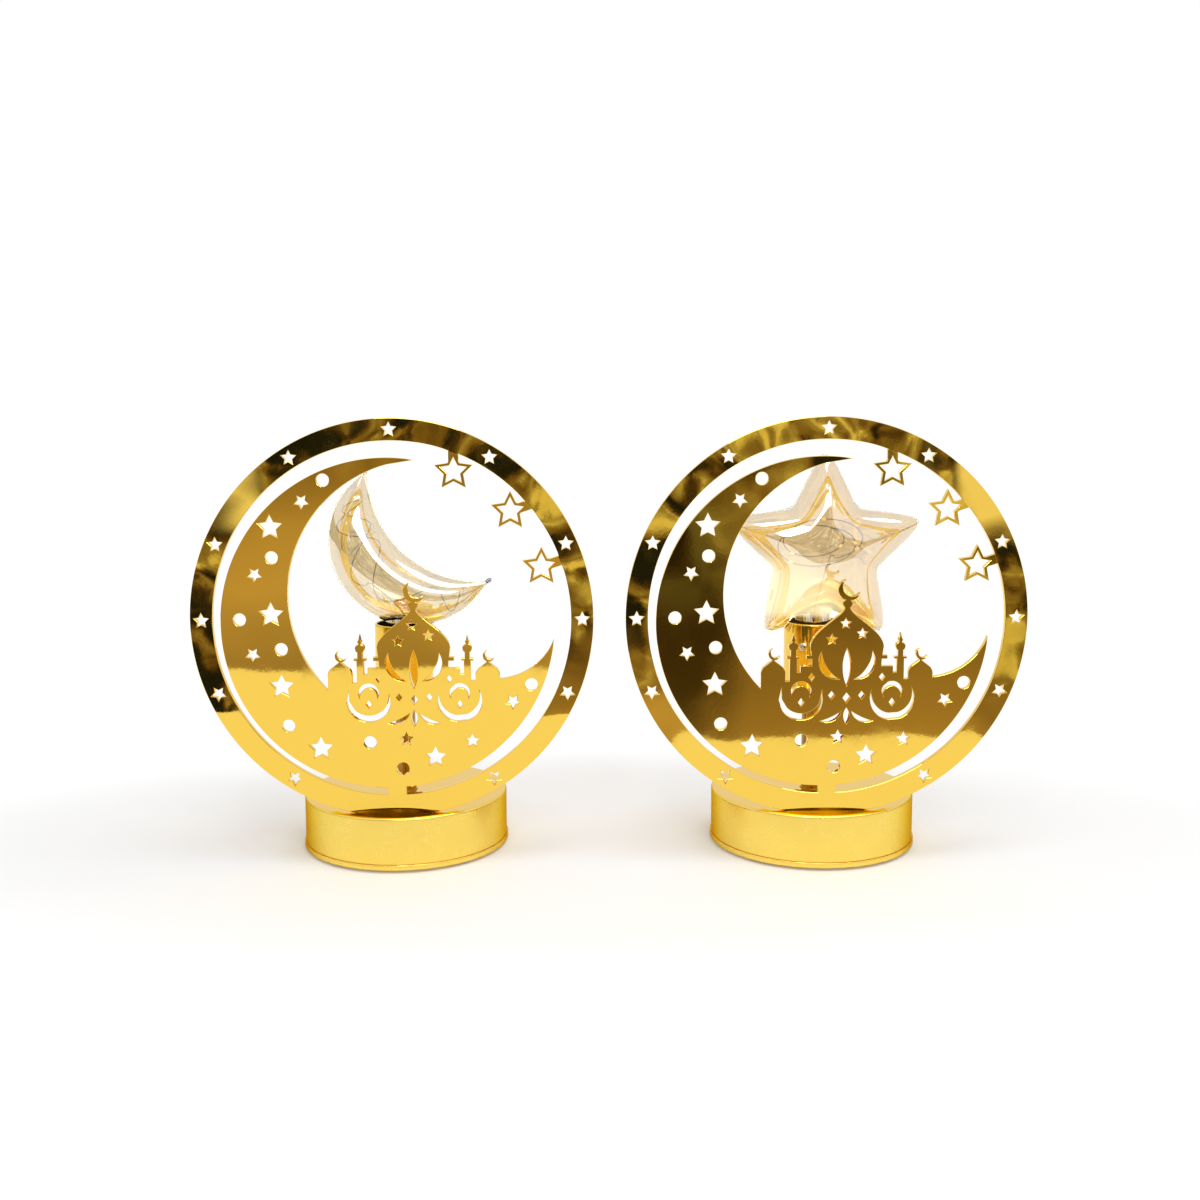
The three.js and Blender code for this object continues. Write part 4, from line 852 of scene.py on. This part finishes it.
def glass_mesh(prefix, skin, neck_top, wall):
    """A hollow lamp: its skin kept clear of the cup, with an open neck down to the plug."""
    cup_top = node_box(prefix, "lamp_cup")[1].z
    low, _ = node_box(prefix, "bulb")
    cup_radius = node_radius(prefix, "lamp_cup")

    def body(inset, neck_radius, neck_bottom):
        above = cup_top + LIFT[prefix] + inset
        room = turned(disc_profile(cup_radius + CLEARANCE + inset, 0, above), 96, AXIS[prefix])
        neck = turned(disc_profile(neck_radius, neck_bottom, neck_top), 64, AXIS[prefix])
        return combined(combined(skin(STAND_X[prefix], inset), room, "DIFFERENCE"), neck, "UNION")

    outer = body(0, NECK_RADIUS, low.z)
    inner = body(wall, NECK_RADIUS - wall, low.z - 1)
    for mesh, index in ((outer, 0), (inner, 1)):
        mesh.materials.append(None)
        mesh.materials.append(None)
        for face in mesh.polygons:
            face.material_index = index
    hollow = combined(outer, inner, "DIFFERENCE")
    hollow.materials.clear()
    return shade(hollow, 35)


class OBJECT_OT_bulbs(bpy.types.Operator):
    """Make the moon and the star of tinted glass."""

    bl_idname = "object.lamp_stand_bulbs"
    bl_label = "Lamp Glass"

    def execute(self, context):
        wall = context.scene.lamp_stand_sizes.glass_wall / MM
        colours = context.scene.lamp_stand_colours
        glow_at = (STAND_X["star"] - 5, 0, 81)
        # Painted warm light: the lit star's glass is a warmer copy of the moon's tint
        lit = tuple(c * k for c, k in zip(colours.glass, (0.99, 0.95, 0.9)))
        finishes = {
            "moon": [tinted_glass("champagne_lustre_glass", colours.glass, 1.0),
                     tinted_glass("plain_glass_inside", colours.glass, 0.0)],
            "star": [tinted_glass("lit_champagne_lustre_glass", lit, 1.0, colours.glow, glow_at),
                     tinted_glass("lit_plain_glass_inside", lit, 0.0, colours.glow, glow_at)],
        }
        shapes = {"moon": (moon_skin, MOON_NECK_TOP), "star": (star_skin, STAR_NECK_TOP)}
        for prefix in PREFIXES:
            skin, neck_top = shapes[prefix]
            mesh = glass_mesh(prefix, skin, neck_top, wall)
            new_piece(prefix, "glass", mesh, finishes[prefix], "bulb")
        tip, before = (moon_station(1 - share * MOON_END)[0] for share in (1, 4))
        ends = [Vector((p.x, 0, p.y)) for p in (tip, 2 * tip - before)]
        drop = bead_mesh(ends, (0,), STAND_X["moon"], (0.8, 0.8, 1.2))
        seal = tinted_glass("grey_glass_seal_drop", linear(0x8288A0), 0.5)
        new_piece("moon", "glass_seal", drop, [seal])
        return {"FINISHED"}


# Wires inside the glass
def route_start(cup_top):
    """Both wires rise through the plug's bore."""
    heights = (LEAD_TOP + CLEARANCE, SPIGOT_TOP - 2, SPIGOT_TOP + 1)
    return [*((0, 0, z) for z in heights), (0.3, 0.5, cup_top + 2)]


def moon_route(cup_top, steps=90, turns=4.5):
    """The wire's points in the moon: a slack helix that climbs to one tip and comes back to the other."""
    # It swings by 0.34 of the moon's length from its middle, at about 0.28 of the breadth there
    route = route_start(cup_top)
    for i in range(steps + 1):
        middle, across = moon_station(0.5 - 0.34 * sin(1.5 * pi * i / steps))
        radius = (0.28 + 0.06 * sin(tau * 2.3 * i / steps)) * across.length
        angle = tau * turns * i / steps - 1.2
        wide = across.normalized() * radius * cos(angle)
        route.append((middle.x + wide.x, radius * 0.8 * sin(angle), middle.y + wide.y))
    return route


def star_route(cup_top, steps=90):
    """The wire's points in the star: flattened rounds that wander between 8 and 15 mm out."""
    route = route_start(cup_top)
    for i in range(steps + 1):
        share = i / steps
        angle = radians(-70 + 860 * share)
        radius = 11.5 + 3.5 * sin(tau * 1.6 * share)
        route.append((STAR_CENTRE[0] - 1.5 + radius * cos(angle), 5 * cos(tau * 2.3 * share),
                      STAR_CENTRE[1] + 3 + 0.55 * radius * sin(angle)))
    return route


def smooth_route(points, steps=8):
    """A smooth curve through points, as closely spaced points."""
    padded = [Vector(points[0]), *map(Vector, points), Vector(points[-1])]
    smooth = []
    for p0, p1, p2, p3 in zip(padded, padded[1:], padded[2:], padded[3:]):
        for i in range(steps):
            t = i / steps
            smooth.append(0.5 * (2 * p1 + (p2 - p0) * t + (2 * p0 - 5 * p1 + 4 * p2 - p3) * t ** 2
                                 + (3 * p1 - p0 - 3 * p2 + p3) * t ** 3))
    smooth.append(padded[-1])
    return smooth


def wire_mesh(points, radius, x):
    """A round wire along points."""
    line = [(p.x + x, p.y, p.z) for p in points]
    return shade(curve_mesh([line], False, dimensions="3D", bevel_depth=radius, bevel_resolution=1,
                            use_fill_caps=True), 60)


def bead_mesh(points, shares, x, radii):
    """Drops along a line of points, each with its third radius along the line."""
    bm = bmesh.new()
    for share in shares:
        i = int(share * (len(points) - 2))
        along = (points[i + 1] - points[i]).normalized()
        turn = Vector((0, 0, 1)).rotation_difference(along).to_matrix().to_4x4()
        place = Matrix.Translation((points[i] + Vector((x, 0, 0))) * MM)
        size = Matrix.Diagonal((*(r * MM for r in radii), 1))
        bmesh.ops.create_uvsphere(bm, u_segments=16, v_segments=10, radius=1, matrix=place @ turn @ size)
    mesh = bpy.data.meshes.new("beads")
    bm.to_mesh(mesh)
    bm.free()
    return shade(mesh, 60)


class OBJECT_OT_light_strings(bpy.types.Operator):
    """Make the lamp wires and their beads."""

    bl_idname = "object.lamp_stand_light_strings"
    bl_label = "Light Strings"

    def execute(self, context):
        sizes = context.scene.lamp_stand_sizes
        colours = context.scene.lamp_stand_colours
        wire = plated_steel("enamelled_copper_wire", colours.wire, 0.35)
        routes = {"moon": moon_route, "star": star_route}
        beads = {"moon": (0.12, 0.25, 0.4, 0.55, 0.7, 0.85),
                 "star": (0.1, 0.22, 0.36, 0.5, 0.64, 0.78, 0.92)}
        resins = {"moon": lamp_resin("clear_resin_drop", linear(0xD9C796), 0.0),
                  "star": lamp_resin("lit_resin_drop", linear(0xFFDFA0), 0.8)}
        for prefix in PREFIXES:
            _, cup_high = node_box(prefix, "lamp_cup")
            points = smooth_route(routes[prefix](cup_high.z))
            x = STAND_X[prefix]
            mesh = wire_mesh(points, sizes.wire_radius, x)
            new_piece(prefix, "wire", mesh, [wire], "light_string")
            drops = bead_mesh(points, beads[prefix], x, (0.5, 0.5, 0.9))
            new_piece(prefix, "beads", drops, [resins[prefix]])
        return {"FINISHED"}


# Undersides and inner pieces
def dress(prefix, node, material, bevel=0.0):
    """Gives a solid its material and, where it shows, finely rounded edges."""
    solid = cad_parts[f"{prefix}_{node}"]
    solid.data.materials.clear()
    solid.data.materials.append(material)
    if bevel:
        rounding = solid.modifiers.new("edges", "BEVEL")
        rounding.width = bevel * MM
        rounding.segments = 2
        rounding.limit_method = "ANGLE"
        rounding.angle_limit = radians(40)


class OBJECT_OT_undersides(bpy.types.Operator):
    """Dress the covers, doors, feet, screws and switch knobs."""

    bl_idname = "object.lamp_stand_undersides"
    bl_label = "Undersides"

    def execute(self, context):
        satin = bpy.data.materials["satin_gold_plated_abs"]
        black = moulded_plastic("black_abs", linear(0x202022), 0.4)
        rubber = moulded_plastic("black_foot_rubber", linear(0x2B2A29), 0.75, 0.4, 0.03)
        steel = plated_steel("zinc_plated_screw", linear(0xC9CBCC), 0.3)
        for prefix in PREFIXES:
            dress(prefix, "bottom_cover", satin)
            dress(prefix, "battery_door", satin, 0.12)
            dress(prefix, "switch_knob", black, 0.15)
            dress(prefix, "bulb_plug", black)
            for i in range(1, 5):
                self.foot(prefix, i, rubber)
                self.cover_screw(prefix, i, steel)
        return {"FINISHED"}

    def foot(self, prefix, number, rubber):
        solid = f"foot_{number}"
        low, high = node_box(prefix, solid)
        pad = disc_profile(node_radius(prefix, solid), low.z, high.z, 0.3)
        mesh = turned(pad, 48, ((low + high) / 2).xy)
        new_piece(prefix, f"foot_pad_{number}", shade(mesh), [rubber], solid)

    def cover_screw(self, prefix, number, steel):
        solid = f"cover_screw_{number}"
        low, high = node_box(prefix, solid)
        centre = ((low + high) / 2).xy
        height = 0.8
        head = screw_mesh(node_radius(prefix, solid), height)
        flip = Matrix.Rotation(radians(180), 4, "X")
        place = Matrix.Translation(Vector((*centre, low.z + height)) * MM)
        head.transform(place @ flip)
        shank = turned(disc_profile(1.0, low.z + 0.7, high.z), 24, centre)
        mesh = shade(combined(head, shank, "UNION"), 40)
        new_piece(prefix, f"cover_screw_head_{number}", mesh, [steel], solid)


class OBJECT_OT_inner_pieces(bpy.types.Operator):
    """Give the pieces inside the drums their materials."""

    bl_idname = "object.lamp_stand_inner_pieces"
    bl_label = "Inner Pieces"

    def execute(self, context):
        nickel = plated_steel("nickel_plated_spring_steel", linear(0xD5D6D2), 0.25)
        finishes = {
            "cell_left": moulded_plastic("plain_cell_film", linear(0x3D5A47), 0.25, 3.0),
            "contact_bridge": nickel,
            "plate_bracket": moulded_plastic("white_abs", linear(0xE6E2D6), 0.45),
            "switch_body": bpy.data.materials["black_abs"],
            "circuit_board": moulded_plastic("green_lacquered_laminate", linear(0x2B6B40), 0.35, 0.8, 0.02),
            "lead_wires": moulded_plastic("red_pvc_insulation", linear(0x9C2A20), 0.4),
        }
        finishes["cell_right"] = finishes["cell_left"]
        finishes["contact_plus"] = finishes["contact_minus"] = finishes["stem_nut"] = nickel
        for prefix in PREFIXES:
            for node, material in finishes.items():
                dress(prefix, node, material)
        return {"FINISHED"}


# Stage, in metres: the floor's half breadth, its mirrored front edge, and where its soft shadows fade out
FLOOR_REACH = 4.0
FLOOR_EDGE_Y = -0.45
SHADOW_STRETCH = (1.0, 2.2, 1.0)
FADE_FROM, FADE_TO = 0.16, 0.3


def camera_matrix(place, pitch, yaw, roll):
    """Matrix of a camera that looks along +Y, pitched down, turned and rolled by degrees."""
    matrix = Matrix.Translation(place)
    for axis, angle in (("Z", -yaw), ("X", 90 - pitch), ("Z", -roll)):
        matrix = matrix @ Matrix.Rotation(radians(angle), 4, axis)
    return matrix


def area_lamp(name, place, target, size, power):
    """A soft rectangular lamp aimed at a point."""
    data = bpy.data.lights.new(name, "AREA")
    data.shape = "RECTANGLE"
    data.size, data.size_y = size
    data.energy = power
    lamp = placed(name, data)
    lamp.location = place
    lamp.rotation_euler = (Vector(target) - Vector(place)).to_track_quat("-Z", "Y").to_euler()


def floor_material(colour):
    """Pale matt table top.

    To the camera, metal and glass it is close to white and keeps the stands' soft shadows.
    What mirrors it sees it end in front of the stands, where the dim room begins.
    """
    material, node = new_material("pale_matt_table_top")
    place = node("NewGeometry").outputs["Position"]
    rays = node("LightPath")
    seen = rays.outputs["Is Camera Ray"]
    for kind in ("Is Glossy Ray", "Is Transmission Ray"):
        seen = node("Math", (seen, rays.outputs[kind]), operation="MAXIMUM")
    stretched = node("VectorMath", (place, SHADOW_STRETCH), operation="MULTIPLY")
    distance = node("VectorMath", (stretched,), operation="LENGTH")
    fade = node("MapRange", (distance, FADE_FROM, FADE_TO, 0.1, 1.0), **SMOOTH)
    share = node("Math", (seen, fade), operation="MULTIPLY")
    matt = node("BsdfDiffuse", {"Color": colour})
    bright = node("Emission", {"Color": (1, 1, 1), "Strength": 1.05})
    lit = node("MixShader", (share, matt, bright))
    along = node("SeparateXYZ", (place,)).outputs["Y"]
    past = node("Math", (along, FLOOR_EDGE_Y), operation="LESS_THAN")
    hidden = node("Math", (past, rays.outputs["Is Glossy Ray"]), operation="MULTIPLY")
    clear = node("BsdfTransparent")
    mixed = node("MixShader", (hidden, lit, clear))
    return finished(material, mixed)


def stepped_ramp(node, value, stops):
    """A colour ramp through (position, hex colour) stops."""
    ramp = node("ValToRGB", (value,))
    elements = ramp.color_ramp.elements
    for i, (at, hex_value) in enumerate(stops):
        element = elements[i] if i < 2 else elements.new(at)
        element.position = at
        element.color = (*linear(hex_value), 1)
    return ramp


def room_colour(node, direction):
    """What stands past the camera: a brown wall low down, dark and lit things above and to the left.

    The limits here and below are parts of the unit direction in which a mirror looks.
    """
    place = node("SeparateXYZ", (direction,))
    height, side = place.outputs["Z"], place.outputs["X"]
    right = node("MapRange", (side, -0.03, 0.03, -0.03, 0.03), **SMOOTH)
    stains = node("TexNoise", {
        "Vector": direction, "W": 2.0, "Scale": 6.0, "Detail": 2.0}, noise_dimensions="4D")
    raised = node("Math", (right, 1.5, height), operation="MULTIPLY_ADD")
    shifted = node("Math", (stains, 0.12, raised), operation="MULTIPLY_ADD")
    level = node("MapRange", (shifted, -0.17, 0.13))
    wall = stepped_ramp(node, level, ((0.0, 0x84766A), (0.3, 0xC6B194), (0.6, 0xA89272), (1.0, 0x6E5C46)))
    shapes = node("TexNoise", {
        "Vector": direction, "W": 5.3, "Scale": 22.0, "Detail": 3.0}, noise_dimensions="4D")
    things = node("Math", (shapes, right), operation="ADD")
    shelves = stepped_ramp(node, things, (
        (0.0, 0x15171F), (0.43, 0x1F2228), (0.48, 0x4A3A2C), (0.53, 0x7C6A44), (0.59, 0x9C9478),
        (0.64, 0xE3DEB6), (1.0, 0xF2EEDC)))
    onset = [node("MapRange", limits, **SMOOTH) for limits in ((height, -0.05, 0.06), (side, -0.26, -0.31))]
    past = node("Math", onset, operation="MAXIMUM")
    colour = node("Mix", (past, wall, shelves), **COLOURS)
    return person_shadow(node, direction, colour)


def person_shadow(node, direction, colour):
    """Darkens the room where whoever stands behind the camera would be mirrored."""
    offset = node("VectorMath", (direction, (0.06, -1.0, 0.0)), operation="SUBTRACT")
    scaled = node("VectorMath", (offset, (1 / 0.05, 0, 1 / 0.12)), operation="MULTIPLY")
    away = node("VectorMath", (scaled,), operation="LENGTH")
    dark = node("MapRange", (away, 1.15, 0.6, 0.0, 0.85), **SMOOTH)
    return node("Mix", (dark, colour, linear(0x241D14)), **COLOURS)


def mirrored_surroundings(node, direction):
    """What metal and glass mirror: white above, pale behind, tan low at the sides, a dim room ahead."""
    place = node("SeparateXYZ", (direction,))
    aside = node("Math", (place.outputs["X"],), operation="ABSOLUTE")
    ahead, low, narrow, under, behind, flank = [
        node("MapRange", limits, **SMOOTH)
        for limits in (
            (place.outputs["Y"], -0.45, -0.65), (place.outputs["Z"], 0.24, 0.18), (aside, 0.38, 0.32),
            (place.outputs["Z"], 0.44, 0.37), (place.outputs["Y"], 0.1, 0.6), (aside, 0.55, 0.85))]
    column = node("Math", (narrow, under), operation="MULTIPLY")
    dim = node("Math", (low, column), operation="MAXIMUM")
    front = node("Math", (ahead, dim), operation="MULTIPLY")
    around = node("Mix", (behind, linear(0xFBFBFB), linear(0xF4F2EE)), **COLOURS)
    beside = node("Math", (flank, low), operation="MULTIPLY")
    around = node("Mix", (beside, around, linear(0x84704C)), **COLOURS)
    return node("Mix", (front, around, room_colour(node, direction)), **COLOURS)


def light_world(settings):
    """White surroundings for the eye, even light for the floor, and a room for mirrors."""
    world = bpy.data.worlds.new("studio")
    bpy.context.scene.world = world
    world.use_nodes = True
    world.node_tree.nodes.clear()
    node = partial(add_node, world.node_tree)
    direction = node("TexCoord").outputs["Generated"]
    rays = node("LightPath")
    mirrored = mirrored_surroundings(node, direction)
    glossy = node("Background", {"Color": mirrored})
    white = node("Background", {"Color": (1, 1, 1)})
    soft = node("Background", {"Color": (1, 1, 1), "Strength": settings.ambient})
    lit = node("MixShader", (rays.outputs["Is Glossy Ray"], soft, glossy))
    plain = node("Math", (
        rays.outputs["Is Camera Ray"], rays.outputs["Is Transmission Ray"]), operation="MAXIMUM")
    mixed = node("MixShader", (plain, lit, white))
    node("OutputWorld", {"Surface": mixed})


class OBJECT_OT_stage(bpy.types.Operator):
    """Set up the floor, the lamps, the surroundings and the camera."""

    bl_idname = "object.lamp_stand_stage"
    bl_label = "Stage"

    def execute(self, context):
        settings = context.scene.lamp_stand_stage
        self.floor(settings)
        light_world(settings)
        area_lamp("overhead_lamp", (0.16, -0.22, 0.9), (0, 0, 0.08), (0.9, 0.3), settings.overhead)
        area_lamp("strip_lamp", (0.07, -0.55, 0.42), (0, 0, 0.1), (0.36, 0.12), settings.strip)
        area_lamp("side_lamp", (-0.08, -0.52, 0.53), (0.07, 0, 0.1), (0.06, 0.06), settings.side)
        self.lit_bead(context)
        self.camera(context)
        context.scene.view_settings.view_transform = "Standard"
        return {"FINISHED"}

    def floor(self, settings):
        mesh = bpy.data.meshes.new("floor")
        corners = [(x * FLOOR_REACH, y * FLOOR_REACH, 0) for x, y in ((-1, -1), (1, -1), (1, 1), (-1, 1))]
        mesh.from_pydata(corners, [], [(0, 1, 2, 3)])
        mesh.materials.append(floor_material(settings.floor))
        placed("floor", mesh)

    def lit_bead(self, context):
        """The bead that shines at the star lamp's neck, and moves with its stand."""
        data = bpy.data.lights.new("lit_bead", "POINT")
        data.energy = context.scene.lamp_stand_stage.lamp_bead
        data.color = context.scene.lamp_stand_colours.glow
        data.shadow_soft_size = 1.2 * MM
        lamp = placed("lit_bead", data)
        lamp.location = Vector((STAND_X["star"] - 4, -3, 81)) * MM
        lamp.visible_camera = lamp.visible_glossy = lamp.visible_transmission = False
        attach(lamp, "star_stand")

    def camera(self, context):
        """The photograph's point of view, on its square frame."""
        data = bpy.data.cameras.new("camera")
        data.sensor_width = 36.0
        data.lens = data.sensor_width * FOCAL_PIXELS / FRAME_PIXELS
        data.shift_y = SHIFT_PIXELS / FRAME_PIXELS
        data.clip_start, data.clip_end = 0.01, 20
        data.dof.use_dof = False
        camera = placed("camera", data)
        camera.matrix_world = camera_matrix(Vector(CAMERA_PLACE) * MM, *CAMERA_TURN)
        context.scene.camera = camera


class VIEW3D_PT_lamp_stands(bpy.types.Panel):
    """Sidebar panel with the stands' steps and settings."""

    bl_label = "Lamp Stands"
    bl_idname = "VIEW3D_PT_lamp_stands"
    bl_space_type = "VIEW_3D"
    bl_region_type = "UI"
    bl_category = "Lamp Stands"

    def draw(self, context):
        for operator in OPERATORS:
            self.layout.operator(operator.bl_idname)
        for group in GROUPS:
            box = self.layout.box()
            settings = getattr(context.scene, group)
            for name in settings.__annotations__:
                box.prop(settings, name)


GROUPS = {
    "lamp_stand_sizes": LampStandSizes,
    "lamp_stand_colours": LampStandColours,
    "lamp_stand_stage": LampStandStage,
}
OPERATORS = (
    OBJECT_OT_stage,
    OBJECT_OT_face_plates,
    OBJECT_OT_bases,
    OBJECT_OT_lamp_cups,
    OBJECT_OT_bulbs,
    OBJECT_OT_light_strings,
    OBJECT_OT_undersides,
    OBJECT_OT_inner_pieces,
)


def register():
    for cls in (*GROUPS.values(), *OPERATORS, VIEW3D_PT_lamp_stands):
        bpy.utils.register_class(cls)
    for name, cls in GROUPS.items():
        setattr(bpy.types.Scene, name, PointerProperty(type=cls))


def unregister():
    for name in GROUPS:
        delattr(bpy.types.Scene, name)
    for cls in reversed((*GROUPS.values(), *OPERATORS, VIEW3D_PT_lamp_stands)):
        bpy.utils.unregister_class(cls)


def main():
    register()
    bpy.ops.object.lamp_stand_stage()
    bpy.ops.object.lamp_stand_face_plates()
    bpy.ops.object.lamp_stand_bases()
    bpy.ops.object.lamp_stand_lamp_cups()
    bpy.ops.object.lamp_stand_bulbs()
    bpy.ops.object.lamp_stand_light_strings()
    bpy.ops.object.lamp_stand_undersides()
    bpy.ops.object.lamp_stand_inner_pieces()


if __name__ == "__main__":
    main()
